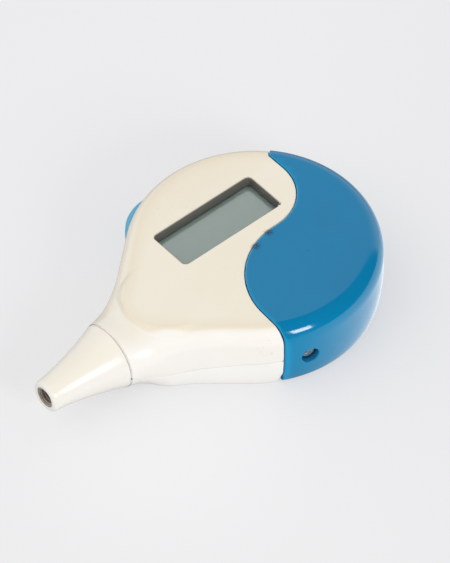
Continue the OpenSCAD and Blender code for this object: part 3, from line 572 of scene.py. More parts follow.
class Skin:
    def __init__(self):
        self.points, self.normals, self.grimeAndShade = np.zeros((0, 3)), np.zeros((0, 3)), np.zeros(0)
        self.faces = []

    def add(self, points, normals, grimeAndShade=0.0):
        start = len(self.points)
        self.points = np.vstack([self.points, points])
        self.normals = np.vstack([self.normals, normals])
        self.grimeAndShade = np.concatenate([self.grimeAndShade, np.broadcast_to(grimeAndShade, len(points))])
        return start

    def sheet(self, points, normals, flip=False, grimeAndShade=0.0):
        rows, cols = points.shape[:2]
        start = self.add(points.reshape(-1, 3), normals.reshape(-1, 3), grimeAndShade)
        i = start + np.arange(rows * cols).reshape(rows, cols)
        quads = np.stack([i[:-1, :-1], i[1:, :-1], i[1:, 1:], i[:-1, 1:]], -1).reshape(-1, 4)
        self.faces += (quads[:, ::-1] if flip else quads).tolist()

    def take(self, other, grimeAndShade=None, inward=False):     # adds another skin, or its inner side
        start = self.add(other.points, -other.normals if inward else other.normals,
                         other.grimeAndShade if grimeAndShade is None else grimeAndShade)
        self.faces += [[i + start for i in (f[::-1] if inward else f)] for f in other.faces]

    def cover(self, sheets):             # adds sheets and joins points that share a place and a normal
        for points, normals, flip in sheets:
            self.sheet(points, normals, flip)
        keys = np.round(np.hstack([self.points * 2000, self.normals * 8])).astype(int)
        _, first, back = np.unique(keys, axis=0, return_index=True, return_inverse=True)
        held = (self.points, self.normals, self.grimeAndShade)
        self.points, self.normals, self.grimeAndShade = (v[first] for v in held)
        rings = (back.ravel()[face].tolist() for face in self.faces)
        rings = ([v for i, v in enumerate(ring) if v != ring[i - 1]] for ring in rings)
        self.faces = [ring for ring in rings if len(set(ring)) > 2]
        return self

    def along(self, field, p, n):        # a field's value as a distance along the surface
        value, h = field(p), 1e-3
        slope = np.stack([(field(p + e) - field(p - e)) / (2 * h) for e in h * np.eye(3)], 1)
        slope -= (slope * n).sum(1, keepdims=True) * n
        steep = np.where(np.abs(value) < 1.5, np.maximum(np.linalg.norm(slope, axis=1), 0.3), 1)
        return value / steep, slope / steep[:, None]

    def cut(self, field, back=0.0, spacing=0.3):     # keeps what lies outside; returns the new edges
        back = varying(back)
        value = self.along(field, self.points, self.normals)[0] + back(self.points)
        value[np.abs(value) < 1e-7] = -1e-7
        out, count, made, rows = value > 0, len(self.points), {}, []

        def crossing(*ends):
            a, b = sorted(ends)
            if (a, b) not in made:
                made[a, b] = count + len(rows)
                t = value[a] / (value[a] - value[b])
                rows.append([lerp(v[a], v[b], t) for v in (self.points, self.normals, self.grimeAndShade)])
            return made[a, b]

        kept, cuts = [], []
        for face in self.faces:
            ring, ends = [], {}
            for v, w in zip(face, face[1:] + face[:1]):
                if not out[v]:
                    ring.append(v)
                if out[v] != out[w]:
                    ring.append(crossing(v, w))
                    ends[bool(out[w])] = ring[-1]
            if ends:
                cuts.append((len(kept), ends[True], ends[False]))
            if ring:
                kept.append(ring)
        if not cuts:
            self.faces = kept
            return []
        points, normals, grimeAndShade = (np.array(v) for v in zip(*rows))
        self.add(points, unit(normals), grimeAndShade)
        # extra points along each new edge, moved onto the curve
        extra, counts, follow = [], [], {}
        for _, a, b in cuts:
            counts.append(int(np.linalg.norm(self.points[a] - self.points[b]) / spacing))
            t = np.arange(1, counts[-1] + 1)[:, None] / (counts[-1] + 1)
            extra.append(np.hstack([lerp(v[a], v[b], t) for v in (self.points, self.normals)]))
        both = np.vstack(extra)
        p, n = both[:, :3], unit(both[:, 3:])
        for _ in range(2):
            v, slope = self.along(field, p, n)
            grade = np.maximum((slope ** 2).sum(1, keepdims=True), 0.09)
            p = p - (v + back(p))[:, None] * slope / grade
        start = self.add(p, n)
        for (slot, a, b), many in zip(cuts, counts):
            mids = list(range(start, start + many))
            start += many
            ring = kept[slot]
            at = ring.index(a)
            if ring[(at + 1) % len(ring)] == b:
                kept[slot] = ring[:at + 1] + mids + ring[at + 1:]
            path = [a] + mids + [b]
            follow.update(zip(path[:-1], path[1:]))
        self.faces = kept
        return chains(follow)

    def lip(self, loops, radius, depth, arcSteps, wallSteps, floorDarkness):
        for path, closed in loops:       # rounds the edge over and turns it down as a wall
            if len(path) < 3:
                continue
            p, n = self.points[path], self.normals[path]
            r, deepest = varying(radius)(p)[:, None], varying(floorDarkness)(p)
            forward = (np.roll(p, -1, 0) - np.roll(p, 1, 0)) if closed else np.gradient(p, axis=0)
            outward = unit(np.cross(forward, n))
            previous = list(path)
            for k in range(1, arcSteps + wallSteps + 1):
                a = math.radians(90 * min(k / arcSteps, 1))
                down = max(k - arcSteps, 0) / wallSteps
                place = p + outward * r * math.sin(a) - n * (r * (1 - math.cos(a)) + depth * down)
                # painted shade: the rounded edge darkens as it turns over, and the wall darkens down to
                # the floor of the gap
                dirtAndShade = lerp(0.12 * min(k / arcSteps, 1) ** 2, deepest, min(1.0, down * 1.2))
                start = self.add(place, n * math.cos(a) + outward * math.sin(a), dirtAndShade)
                current = list(range(start, start + len(path)))
                for i in range(len(path) - (not closed)):
                    j = (i + 1) % len(path)
                    self.faces.append([previous[j], previous[i], current[i], current[j]])
                previous = current

    def build(self, name, finish, bodyName, slotName, *nodes, paintedLight=pastFlat):
        used = np.unique(np.concatenate([np.array(f) for f in self.faces]))
        index = -np.ones(len(self.points), int)
        index[used] = np.arange(len(used))
        mesh = bpy.data.meshes.new(name)
        faces = [[int(index[i]) for i in f] for f in self.faces]
        mesh.from_pydata((self.points[used] * mm).tolist(), [], faces)
        mesh.polygons.foreach_set("use_smooth", np.ones(len(mesh.polygons), bool))
        for label, values in (("grimeAndShade", self.grimeAndShade[used]), ("paintedLight", paintedLight(self.points[used]))):
            stored = mesh.attributes.new(label, "FLOAT", "POINT").data
            stored.foreach_set("value", values.astype(np.float32))
        mesh.normals_split_custom_set_from_vertices(self.normals[used].tolist())
        mesh.materials.append(finishes[finish])
        piece = newObject(name, mesh)
        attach(piece, bodyName)
        if nodes:
            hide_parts(*nodes)


def chains(follow):                      # joins edges end to end, the open runs first
    rest, found = dict(follow), []
    heads = sorted(set(follow) - set(follow.values()))
    while heads or rest:
        closed = not heads
        path = [min(rest) if closed else heads.pop(0)]
        while path[-1] in rest:
            path.append(rest.pop(path[-1]))
        found.append((path[:-1] if closed else path, closed))
    return found


# turned shapes
def rounded(corners, radii, arcSteps=5):  # an open outline with its corners rounded off
    corners = [np.array(c, float) for c in corners]
    out = [corners[0]]
    for before, at, after, r in zip(corners, corners[1:], corners[2:], radii):
        a, b = before - at, after - at
        la, lb = np.linalg.norm(a), np.linalg.norm(b)
        a, b = a / la, b / lb
        angle = math.acos(np.clip(a @ b, -1, 1))
        if r <= 0 or angle > math.radians(179):
            out.append(at)
            continue
        reach = min(r / math.tan(angle / 2), 0.49 * la, 0.49 * lb)
        r = reach * math.tan(angle / 2)
        centre = at + (a + b) / np.linalg.norm(a + b) * r / math.sin(angle / 2)
        start, end = at + a * reach - centre, at + b * reach - centre
        sweep = math.pi - angle
        sign = 1 if start[0] * end[1] - start[1] * end[0] > 0 else -1
        for i in range(arcSteps + 1):
            s = sign * sweep * i / arcSteps
            out.append(centre + (start[0] * math.cos(s) - start[1] * math.sin(s),
                                 start[0] * math.sin(s) + start[1] * math.cos(s)))
    out.append(corners[-1])
    return np.array(out)


def lathe(skin, profile, origin, axis, side, count, grimeAndShade):
    # profile rows are (distance along the axis, radius); the outside lies left of the way along it
    origin, axis, side = (np.array(v, float) for v in (origin, axis, side))
    third = np.cross(axis, side)
    profile = np.array(profile, float)
    edge = unit(np.gradient(profile, axis=0))
    a = np.linspace(0, 2 * math.pi, count + 1)[None, :, None]
    around = np.cos(a) * side + np.sin(a) * third
    points = origin + profile[:, 0, None, None] * axis + profile[:, 1, None, None] * around
    normals = -edge[:, 1, None, None] * axis + edge[:, 0, None, None] * around
    dirtAndShade = np.broadcast_to(grimeAndShade, len(profile))
    skin.sheet(points, normals, True, np.repeat(dirtAndShade, count + 1))


print("stage: shape tools")

# casings
casing = {"seamRound": 0.30, "sideRound": 0.14, "notchRound": 1.3, "seamDeep": 1.2,
          "windowRound": 0.28, "windowDeep": 0.35, "slotRound": 0.28, "slotDeep": 1.5,
          "partRound": 0.10, "partDeep": 0.5, "partGap": 0.05, "holeRound": 0.2, "ringRound": 0.22,
          "ringFace": (0.9, 1.7), "notchFrom": 1.2, "notchOver": 2.6,
          # the neck's end face is painted darker towards the join with the probe
          "ringDarkening": (0, 0.01, 0.03, 0.06, 0.12, 0.25, 0.45, 0.5)}
noseAngles = np.radians(np.arange(0, 62, 4.0))
stationX = np.unique(np.round(np.concatenate([
    np.linspace(-ringX + casing["ringRound"], noseTip, 30),
    noseX - body["noseRadius"] * np.cos(noseAngles),
    np.linspace(noseX - body["noseRadius"] * math.cos(noseAngles[-1]), 0, 48)]), 4))
turns = np.arange(88.75, -0.01, -1.25)


def ringEnd(skin, low):                  # the rounded end of the neck, where the probe starts
    r, count = casing["ringRound"], 129
    a = np.radians(np.linspace(0, 90, 6))
    rows = np.array([(-ringX + r * (1 - math.sin(t)), ringRadius - r * (1 - math.cos(t)), math.sin(t))
                     for t in a] + [(-ringX, ringRadius - width, 1) for width in casing["ringFace"]])
    x, radius, facing = rows.T[:, :, None]
    circle = np.linspace(0, 2 * math.pi, count)
    across, up = np.sin(circle), np.cos(circle)
    keep = (1, -1)[low] * (axisZ + ringRadius * up - partHeight(-ringX)) > casing["partGap"]
    points = np.stack([x + 0 * across, radius * across, axisZ + radius * up], 2)
    slant = np.sqrt(np.maximum(1 - facing ** 2, 0))
    normals = np.stack([0 * across - facing, slant * across, slant * up], 2)
    part = Skin()
    part.sheet(points, normals, True, np.repeat(casing["ringDarkening"], count))
    part.faces = [f for i, f in enumerate(part.faces)
                  if keep[i % (count - 1)] and keep[i % (count - 1) + 1]]
    skin.take(part)


def upWall(p, low, high, start=12.5, over=3.5):      # one value low on the wall, another one above
    return lerp(low, high, ramp((p[:, 2] - start) / over))


def casingRound(p):                      # the casing's edge opens into a small notch near the floor
    side = upWall(p, casing["sideRound"], casing["seamRound"])
    return upWall(p, casing["notchRound"], side, casing["notchFrom"], casing["notchOver"])


def seamDarkness(p):                        # painted shade in the gap: dark on top, none down the wall
    return upWall(p, 0.0, 1.0)


def casingSkin(low):
    skin = Skin().cover(bodySheets(0, stationX, turns))
    pastPart = lambda p: (1, -1)[low] * (partHeight(p[:, 0]) - p[:, 2])
    partEdge = skin.cut(pastPart, casing["partRound"] + casing["partGap"] / 2)
    seamEdge = skin.cut(tailField, casingRound)
    slotEdge = skin.cut(slotField, casing["slotRound"])
    partEdge = trimmed(partEdge, skin)
    skin.lip(partEdge, casing["partRound"], casing["partDeep"], 3, 1, 0.35)
    skin.lip(seamEdge, casingRound, casing["seamDeep"], 6, 4, seamDarkness)
    skin.lip(slotEdge, casing["slotRound"], casing["slotDeep"], 5, 2, 0.8)
    if low:
        for postField in postFields:
            hole = skin.cut(postField, casing["holeRound"])
            skin.lip(hole, casing["holeRound"], casingScrew["seat"], 4, 3, 0.7)
    else:
        window = skin.cut(windowField, casing["windowRound"], 0.15)
        skin.lip(window, casing["windowRound"], casing["windowDeep"], 6, 2, 0.5)
    ringEnd(skin, low)
    inner = Skin().cover(bodySheets(body["wall"], stationX[stationX > -ringX + 6.5], turns))
    for field in [pastPart, tailField, slotField] + (postFields if low else [windowField]):
        inner.cut(field)
    # the inside of the shell is painted darker
    skin.take(inner, 0.4, True)
    return skin


def trimmed(loops, skin):                # the parts of cut edges that later cuts left in place
    alive, follow = set(i for f in skin.faces for i in f), {}
    for path, closed in loops:
        pairs = zip(path, path[1:] + path[:closed])
        follow.update((a, b) for a, b in pairs if a in alive and b in alive)
    return chains(follow)


tongue = {"outer": 1.55, "inner": 3.25, "land": 2.5, "round": 0.3, "grimeAndShade": 0.05}


def tongueSkin(low):                     # the inner wall that the tail cap slides over
    skin = Skin()
    for inset, inward in ((tongue["outer"], False), (tongue["inner"], True)):
        part = Skin().cover(roundSheets(inset, np.arange(0, 360.01, 2.0)))
        part.grimeAndShade += tongue["grimeAndShade"]
        edges = part.cut(lambda p: (1, -1)[low] * (partHeight(0) - p[:, 2]), 0.05)
        edges += part.cut(lambda p: -tongue["land"] - tailField(p))
        if not low:
            edges += part.cut(coinField, 0.0 if inward else tongue["round"])
        edges += part.cut(wayField)
        if not inward:
            deep = tongue["inner"] - tongue["outer"] - 0.2
            part.lip(trimmed(edges, part), tongue["round"] * 0.5, deep, 3, 2, 0.3)
        skin.take(part, None, inward)
    return skin


casingSkin(False).build("upperCasing", "creamGloss", "housing", "cream_shell", "upper_casing")
casingSkin(True).build("lowerCasing", "creamPale", "housing", "pale_shell", "lower_casing")
tongueSkin(False).build("upperTongue", "creamGloss", "housing", "cream_shell")
tongueSkin(True).build("lowerTongue", "creamPale", "housing", "pale_shell")
print("stage: casings")

# tail cap
tailCap = {"proud": 0.3, "closeGap": 0.04, "bandLow": 2.0, "bandHigh": 0.55, "inside": 1.3,
           "edgeRound": 0.34, "wallRound": 0.95, "edgeDeep": 1.0, "recessRound": 0.3,
           "recessDeep": 0.9, "bossRadius": 3.2, "bossEnd": 25.7, "bore": 1.1}
capSurface = body["radius"] + tailCap["proud"]


def seamGap(p):                          # the cap fits closer down the wall than on top
    return upWall(p, tailCap["closeGap"], seam["gap"])


def capRound(p):                         # the cap's edge is rounder down the wall than on top
    return upWall(p, tailCap["wallRound"], tailCap["edgeRound"], 13.5, 4)


def capHighlightBand(p):                          # 1 on the painted highlight along the cap's edge beside the seam
    width = upWall(p, tailCap["bandLow"], tailCap["bandHigh"], 12.5, 4)
    return 1 - ramp((tailField(p) - seam["gap"]) / width)


def capSkin():
    everywhere = np.arange(0, 360.01, 1.25)
    skin = Skin().cover(roundSheets(-tailCap["proud"], everywhere))
    edge = skin.cut(lambda p: seamGap(p) - tailField(p), capRound)
    hole = skin.cut(recessField, tailCap["recessRound"], 0.15)
    skin.lip(edge, capRound, tailCap["edgeDeep"], 8, 4, seamDarkness)
    skin.lip(hole, tailCap["recessRound"], tailCap["recessDeep"], 5, 2, 0.25)
    inner = Skin().cover(roundSheets(tailCap["inside"], everywhere))
    inner.cut(lambda p: seam["gap"] - tailField(p))
    inner.cut(recessField)
    # the inside of the cap is painted darker
    skin.take(inner, 0.2, True)
    out, side = wallFrame(capScrew["turn"])
    origin = (0, 0, capScrew["z"])
    seat, r = capSurface - capScrew["depth"], capScrew["recess"]
    well = rounded([(capSurface - tailCap["recessDeep"], r), (seat, r), (seat, tailCap["bore"])], [0.3])
    # painted shade, darker deeper in the screw recess
    lathe(skin, well, origin, out, side, 64, np.linspace(0.25, 0.9, len(well)))
    end, wide, root = tailCap["bossEnd"], tailCap["bossRadius"], body["radius"] - tailCap["inside"] + 0.2
    boss = rounded([(end, tailCap["bore"]), (end, wide), (root, wide)], [0.3])
    lathe(skin, boss[::-1], origin, out, side, 64, 0.1)
    return skin


capSkin().build("tailCap", "capBlue", "cap", "blue_shell", "tail_cap", paintedLight=capHighlightBand)
print("stage: tail cap")

# screws
crossShape = {"fall": 0.55, "taper": 0.35, "end": 0.12}      # shares of the depth, width and reach


def crossDepth(u, v, width, depth, reach):
    # depth of a cross recess whose wings run out towards the rim and towards the bottom
    a, b = np.abs(u), np.abs(v)
    wing = np.minimum(np.maximum(a, b), reach)
    thin = np.minimum(a, b)
    floor = depth * (1 - crossShape["fall"] * (wing / reach) ** 2)
    taper = crossShape["taper"]
    inside = np.clip((width * (1 - taper * wing / reach) - thin) / (taper * width), 0, 1)
    end = np.clip((reach - np.maximum(a, b)) / (crossShape["end"] * reach), 0, 1)
    return floor * inside * end


def screwSkin(sizes, origin, axis, side, length, turn):
    head, height, shank = sizes["head"], sizes["headHeight"], sizes["shank"]
    origin, axis, side = (np.array(v, float) for v in (origin, axis, side))
    rim = 1 - 0.07 * (1 - np.sin(np.linspace(0.1, 1.55, 6)))
    share, angle = np.meshgrid(np.concatenate([np.linspace(0, 0.93, 42), rim]),
                               np.linspace(0, 2 * math.pi, 145), indexing="ij")
    u, v = head * share * np.cos(angle), head * share * np.sin(angle)
    edge = np.clip((share - 0.86) / 0.14, 0, 1)
    dome = height - 0.10 * share ** 2 - 0.16 * head * (1 - np.sqrt(1 - 0.999 * edge ** 2))
    c, s = math.cos(turn), math.sin(turn)
    sunk = crossDepth(u * c + v * s, v * c - u * s, *sizes["cross"])
    third = np.cross(axis, side)
    points = origin + u[..., None] * side + v[..., None] * third + (dome - sunk)[..., None] * axis
    normals, size = sheetNormals(points)
    normals[size < 1e-12] = axis
    normals[:, -1] = normals[:, 0]
    rust = np.clip(sunk / sizes["cross"][1] * 0.9, 0, 1) * np.clip(1.2 - share / 0.7, 0, 1)
    skin = Skin()
    skin.sheet(points, normals, False, (rust * 0.75).ravel())
    skirt = rounded([(dome[-1, 0], head), (0, head), (0, shank), (-length + 0.4, shank),
                     (-length, shank * 0.6), (-length, 0.01)], [0.08, 0.05, 0.2, 0.05])
    lathe(skin, skirt, origin, axis, side, 64, 0.15)
    return skin


screwOut, screwSide = wallFrame(capScrew["turn"])
seatAt = capSurface - capScrew["depth"] + capScrew["lift"]
capScrewSkin = screwSkin(
    capScrew, screwOut * seatAt + (0, 0, capScrew["z"]), screwOut, screwSide,
    seatAt - capScrew["tip"], math.radians(capScrew["crossTurn"]))
capScrewSkin.build("capScrew", "steel", "screw", "steel", "cap_screw")
screws = Skin()
for number, place in enumerate(casingScrew["posts"]):
    screws.take(screwSkin(casingScrew, (*place, casingScrew["seat"]), (0, 0, -1), (1, 0, 0),
                          casingScrew["length"], 0.4 + number))
screws.build("casingScrews", "steel", "housing", "steel", "casing_screws")
print("stage: screws")

# scan button
def rectLoop(halfU, halfV, r, each, long=0):     # a rounded rectangle, and the way out at each point
    points, ways = [], []
    for cx, cy, first in ((halfU - r, halfV - r, 0), (r - halfU, halfV - r, 90),
                          (r - halfU, r - halfV, 180), (halfU - r, r - halfV, 270)):
        for a in np.radians(np.linspace(first, first + 90, each)):
            ways.append((math.cos(a), math.sin(a)))
            points.append((cx + r * math.cos(a), cy + r * math.sin(a)))
        if first in (0, 180):            # points along the long straight edges
            for t in np.linspace(0, 1, long + 2)[1:-1]:
                ways.append((0, 1 - first / 90))
                points.append((lerp(cx, -cx, t), ways[-1][1] * halfV))
    return np.array(points + points[:1]), np.array(ways + ways[:1])


def buttonSkin():
    out, side = wallFrame(button["turn"])
    up = np.array([0, 0, 1.0])
    halfL, halfH, soft = button["length"] / 2, button["height"] / 2, button["soft"]
    r = halfH - button["cornerLess"]
    outline, ways = rectLoop(halfL, halfH, r, 15, 20)
    scale = np.concatenate([np.linspace(0, 0.45, 6)[:-1], 1 - 0.55 * (1 - np.linspace(0, 1, 22)) ** 1.6])
    u, v = scale[:, None] * outline[:, 0], scale[:, None] * outline[:, 1]
    edge = np.clip((soft - boxField(u, v, halfL, halfH, r)) / soft, 0, 1)
    crown = button["crown"] - np.sqrt(button["crown"] ** 2 - (u + button["shift"]) ** 2)
    fall = crown + soft * (1 - np.sqrt(1 - 0.999 * edge ** 2)) + button["bow"] * v ** 2
    h = body["radius"] + button["proud"] - fall
    base = np.array([0, 0, button["z"]]) + side * button["shift"]
    points = base + h[..., None] * out + u[..., None] * side + v[..., None] * up
    normals, size = sheetNormals(points)
    normals[size < 1e-12] = out
    normals[:, -1] = normals[:, 0] = (normals[:, 0] + normals[:, -1]) / 2
    skin = Skin()
    skin.sheet(points, normals)
    rim = points[-1]
    wall = ways[:, :1] * side + ways[:, 1:] * up
    inward = np.linspace(0, 1, 5)[:, None, None]
    seatDepth = np.minimum(rim @ out, body["radius"] + button["rimOver"]) - (
        body["radius"] - button["deep"])
    sheet = rim - inward * seatDepth[:, None] * out
    # painted shade, darker further into the slot
    dirtAndShade = np.repeat((0.0, 0.15, 0.5, 0.8, 1.0), len(rim))
    skin.sheet(sheet, np.broadcast_to(wall, sheet.shape), False, dirtAndShade)
    return skin


buttonSkin().build("scanButton", "buttonBlue", "button", "light_blue_shell", "scan_button")
print("stage: scan button")

# probe
probe = {"length": 18.9, "tip": 3.9, "tipRound": 0.9, "taper": 1.5, "lip": 0.25, "rimWidth": 0.30,
         "boreGap": 0.05, "boreDeep": 1.5, "baseRound": 0.22, "baseWidth": 1.6, "seamGap": 0.06}
tube = {"radius": 2.5, "wall": 0.45, "back": 0.25, "front": 1.6, "boreEnd": 17.5, "boreLess": 0.3,
        "rings": 6, "ringFrom": 0.35, "ringPitch": 0.8, "ringDeep": 0.16, "ringsEnd": 5.4,
        "darkAt": 12.0}
probeOrigin, probeAxis, probeSide = (-ringX, 0, axisZ), (-1, 0, 0), (0, 0, 1)


def probeSkin():
    skin = Skin()
    r, gap, t, lip = probe["baseRound"], probe["seamGap"], probe["tipRound"], probe["lip"]
    length, tip, mouth = probe["length"], probe["tip"], tube["radius"] + probe["boreGap"]
    rows = [(gap, ringRadius - probe["baseWidth"]), (gap, ringRadius - probe["baseWidth"] / 2)]
    rows += [(gap + r * (1 - math.cos(a)), ringRadius - r + r * math.sin(a) - 0.02)
             for a in np.radians(np.linspace(0, 90, 6))]
    rows += [(s, tip + (ringRadius - tip) * (1 - s / length) ** probe["taper"])
             for s in np.linspace(gap + r, length - t, 34)[1:]]
    rows += [(length - t + t * math.sin(a), tip - t + t * math.cos(a))
             for a in np.radians(np.linspace(12, 90, 9))]
    rows += [(length, mouth + probe["rimWidth"])]
    rows += [(length - lip + lip * math.cos(a), mouth + lip - lip * math.sin(a))
             for a in np.radians(np.linspace(15, 90, 5))]
    rows = np.array(rows + [(length - probe["boreDeep"], mouth)])
    # painted shade at the join with the neck and deep in the bore
    dirtAndShade = np.where(rows[:, 0] <= gap + 0.02, 0.5, 0.0)
    dirtAndShade[2:7] = (0.4, 0.2, 0.1, 0.04, 0.01)
    dirtAndShade[-5:] = (0.02, 0.1, 0.3, 0.6, 1.0)
    lathe(skin, rows, probeOrigin, probeAxis, probeSide, 128, dirtAndShade)
    return skin


def tubeSkin():
    skin = Skin()
    front = probe["length"] - tube["back"]
    outer, inner = tube["radius"], tube["radius"] - tube["wall"]
    pitch, groove = tube["ringPitch"], inner - tube["ringDeep"]
    rows = [(front - tube["front"], outer), (front, outer), (front, inner)]
    for ring in range(tube["rings"]):    # shallow turned rings inside the mouth
        start = front - tube["ringFrom"] - ring * pitch
        rows += [(start, inner), (start - 0.2 * pitch, groove), (start - 0.6 * pitch, groove),
                 (start - 0.8 * pitch, inner)]
    rows += [(front - tube["ringsEnd"], groove), (front - tube["boreEnd"], inner - tube["boreLess"])]
    rows = rounded(rows, [0.18, 0.16] + [0.05] * (len(rows) - 4))
    # painted shade, darker deeper in the bore
    depth = np.clip((front - rows[:, 0]) / tube["darkAt"], 0, 1)
    inside = rows[:, 1] < outer - 0.1
    lathe(skin, rows, probeOrigin, probeAxis, probeSide, 96, np.where(inside, depth, 0.25))
    return skin


probeSkin().build("probeNose", "probeWhite", "housing", "white_shell", "probe_nose")
tubeSkin().build("waveguideTube", "tubeMetal", "housing", "tube_metal", "waveguide_tube")
print("stage: probe")

# display
def atLevel(loop, z):                    # a loop round the display, at one height
    return np.column_stack([loop + (display["x"], display["y"]), np.full(len(loop), z)])


def frameSkin():
    # walls of the well, swept round the opening: rows are (inset from the opening, height)
    top, bottom = body["height"], body["height"] - display["depth"]
    halfU, halfV, r = display["length"] / 2, display["width"] / 2, display["corner"]
    sill = top - display["frameDown"]
    rows = [(0.06, top - casing["windowRound"] - 0.55), (0.06, sill), (0.18, sill), (0.20, top - 0.9),
            (0.26, bottom + 0.2), (0.34, bottom), (0.45, bottom)]
    rows = rounded(rows, [0.04, 0.06, 0.0, 0.12, 0.06], 4)
    points, normals = [], []
    for (inset, z), (di, dz) in zip(rows, unit(np.gradient(rows, axis=0))):
        loop, out = rectLoop(halfU - inset, halfV - inset, max(r - inset, 0.12), 9)
        points.append(atLevel(loop, z))
        normals.append(np.column_stack([out * dz, np.full(len(loop), di)]))
    skin = Skin()
    # painted shade, darker down the walls of the well
    deep = np.clip((top - 0.8 - rows[:, 1]) / 2.0, 0, 1) * 0.5
    skin.sheet(np.array(points), np.array(normals), True, np.repeat(deep, len(points[0])))
    return skin


def spread(half, edge, count):           # closer together near both ends
    return np.concatenate([[-half, -half + edge / 2], np.linspace(-half + edge, half - edge, count),
                           [half - edge / 2, half]])


pane = {"down": 0.02, "margin": -0.2, "edgeWidth": 0.6, "thick": 0.18}
panel = {"down": 0.4, "margin": 1.8, "edgeWidth": 3.4, "thick": 2.4}


def panelSkin(sizes):
    skin = Skin()
    z, edgeWidth = body["height"] - display["depth"] - sizes["down"], sizes["edgeWidth"]
    halfU, halfV = (display[side] / 2 + sizes["margin"] for side in ("length", "width"))
    uu, vv = np.meshgrid(spread(halfU, edgeWidth, 30), spread(halfV, edgeWidth, 16), indexing="ij")
    near = np.minimum(halfU - np.abs(uu), halfV - np.abs(vv))
    # painted shadow along the edges, under the well's walls; only the panel's finish uses it
    shade = (np.clip(1 - near / edgeWidth, 0, 1) * 0.6).ravel()
    points = np.stack([uu + display["x"], vv + display["y"], np.full_like(uu, z)], 2)
    up = np.broadcast_to((0, 0, 1.0), points.shape)
    skin.sheet(points, up, False, shade)
    skin.sheet(points - (0, 0, sizes["thick"]), -up, True, shade)
    loop, out = rectLoop(halfU, halfV, 0.05, 3)
    wall = np.stack([atLevel(loop, h) for h in (z, z - sizes["thick"])])
    skin.sheet(wall, np.broadcast_to(np.column_stack([out, np.zeros(len(loop))]), wall.shape))
    return skin


frameSkin().build("displayFrame", "frameGrey", "housing", "bezel_grey", "display_bezel")
panelSkin(pane).build("displayPane", "pane", "housing", "window_clear", "display_window")
panelSkin(panel).build("displayPanel", "panel", "housing", "display_grey", "display_glass")
print("stage: display")

# the CAD pieces that stay as they are
kept = {
    "neck_seal": "sealRubber", "sensor_block": "blockMetal", "thermopile_can": "canMetal",
    "sensor_pins": "contactMetal", "sensor_board": "board", "sensor_wires": "wireRed",
    "display_holder": "holderWhite", "connector_strips": "stripPink", "main_board": "board",
    "microcontroller": "chipBlack", "memory_chip": "chipBlack", "timing_crystal": "steel",
    "capacitors": "capacitorTan", "buzzer": "chipBlack", "switch_body": "chipBlack",
    "switch_plunger": "plungerWhite", "battery_tray": "trayGrey", "coin_cell": "cell",
    "positive_contact": "contactMetal", "negative_contact": "contactMetal",
}
for nodeName, finishName in kept.items():
    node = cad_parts[nodeName]
    if node.material_slots:
        for slot in node.material_slots:
            slot.material = finishes[finishName]
    else:
        node.data.materials.append(finishes[finishName])
print("stage: inner pieces")

# floor and surroundings
ground = {
    "half": 3.0, "near": rgb(232, 232, 233), "far": rgb(233, 233, 235), "paper": rgb(238, 238, 239),
    "own": 0.62, "ownMirrored": 0.38,    # share of its own colour, seen straight and mirrored
    "dimFrom": 0.08, "dimTo": 0.30, "dimmed": 0.50, "mirrorLoss": 0.50, "mirrorGain": 0.65,
    # painted light: a pool of bounced light near the probe, and painted shade on the right
    "bounceAt": (-0.048, -0.022, 0.0), "bounce": 0.06, "rightShade": 0.06,
}


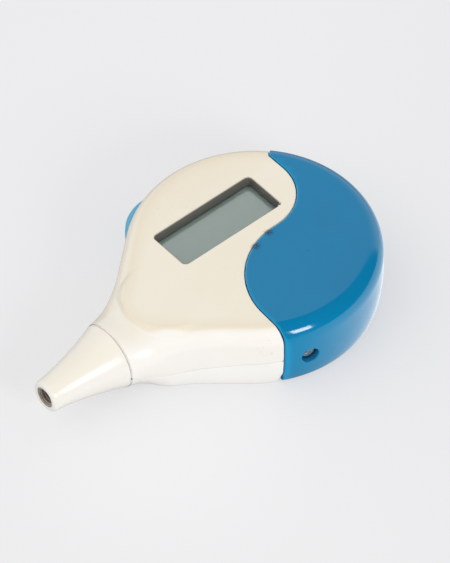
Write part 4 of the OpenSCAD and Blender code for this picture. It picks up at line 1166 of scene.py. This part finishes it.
def makeFloor():
    mesh = bpy.data.meshes.new("floor")
    half = ground["half"]
    corners = [(-half, -half, 0), (half, -half, 0), (half, half, 0), (-half, half, 0)]
    mesh.from_pydata(corners, [], [(0, 1, 2, 3)])
    floor = newObject("floor", mesh)
    t = material("floorPaper")
    a = math.radians(view["azimuth"])
    spot = t.node("TexCoord", {}, {}, "Object")
    depth = t.vector("DOT_PRODUCT", spot, (math.sin(a), math.cos(a), 0))
    beside = t.vector("DOT_PRODUCT", spot, (math.cos(a), -math.sin(a), 0))
    reach = t.vector("LENGTH", spot)
    ray, shiny, through = (t.node("LightPath", {}, {}, f"Is {kind} Ray")
                           for kind in ("Camera", "Glossy", "Transmission"))
    shade = t.blend(depth.band(-0.10, 0.10), ground["near"], ground["far"])
    # painted pool of bounced light near the probe
    bounce = t.vector("DISTANCE", spot, ground["bounceAt"])
    level = 1 + ground["bounce"] * (1 - bounce.band(0.005, 0.045))
    # painted shade, darker on the right side
    level = level - ground["rightShade"] * beside.band(0.0, 0.09)
    # the floor is mirrored dimmer on the camera's side
    behind, right = (depth / (reach + 0.001)).band(0.3, 0.6), (beside / (reach + 0.001)).band(0.3, 1.0)
    away = reach.band(ground["dimFrom"], ground["dimTo"]) * (1 - behind)
    loss = (1 - right) * ground["mirrorLoss"] - right * ground["mirrorGain"]
    dim = 1 - shiny * (away * (1 - ground["dimmed"]) * (1 - right) + loss)
    paper = t.node("BsdfDiffuse", {}, {"Color": ground["paper"]})
    shade = t.blend(1.0, shade, dim * level, "MULTIPLY")
    glow = t.node("Emission", {}, {"Color": shade, "Strength": 1.0})
    share = ((ray + shiny + through).clamped() * ground["own"] + shiny * ground["ownMirrored"]).clamped()
    mesh.materials.append(t.finish(t.node("MixShader", {}, {0: share, 1: paper, 2: glow})))


room = {
    "low": rgb(176, 178, 182), "high": rgb(255, 255, 255), "strength": 0.835,
    # a pale wall on the button's side
    "left": (-0.75, 0.55, 0.2), "leftGain": 0.90, "leftMirrored": 0.5,
    # what polished faces mirror
    "back": (0.643, 0.766, 0.0), "backWall": 1.15, "backFall": 0.62, "dark": 0.04,
}


def makeWorld():
    world = bpy.data.worlds.new("studio")
    bpy.context.scene.world = world
    t = Tree(world)
    way = t.node("TexCoord", {}, {}, "Generated")
    height = t.node("SeparateXYZ", {}, {0: way}, "Z")
    left, back = (t.vector("DOT_PRODUCT", way, room[side]) for side in ("left", "back"))
    sky = t.blend(height.band(0.0, 0.9), room["low"], room["high"])
    gain = left.band(0.2, 0.9) * room["leftGain"] + room["strength"]
    soft = t.node("Background", {}, {"Color": t.blend(1.0, sky, gain, "MULTIPLY"), "Strength": 1.0})
    fall = 1 - height * room["backFall"]
    wall = back.band(0.52, 0.62) * room["backWall"] * fall + room["dark"]
    mirror = wall + left.band(0.3, 0.8) * room["leftMirrored"]
    mirrored = t.node("Background", {}, {"Color": mirror, "Strength": 1.0})
    shiny = t.node("LightPath", {}, {}, "Is Glossy Ray")
    t.node("OutputWorld", {}, {"Surface": t.node("MixShader", {}, {0: shiny, 1: soft, 2: mirrored})})


makeFloor()
makeWorld()
print("stage: floor and room")
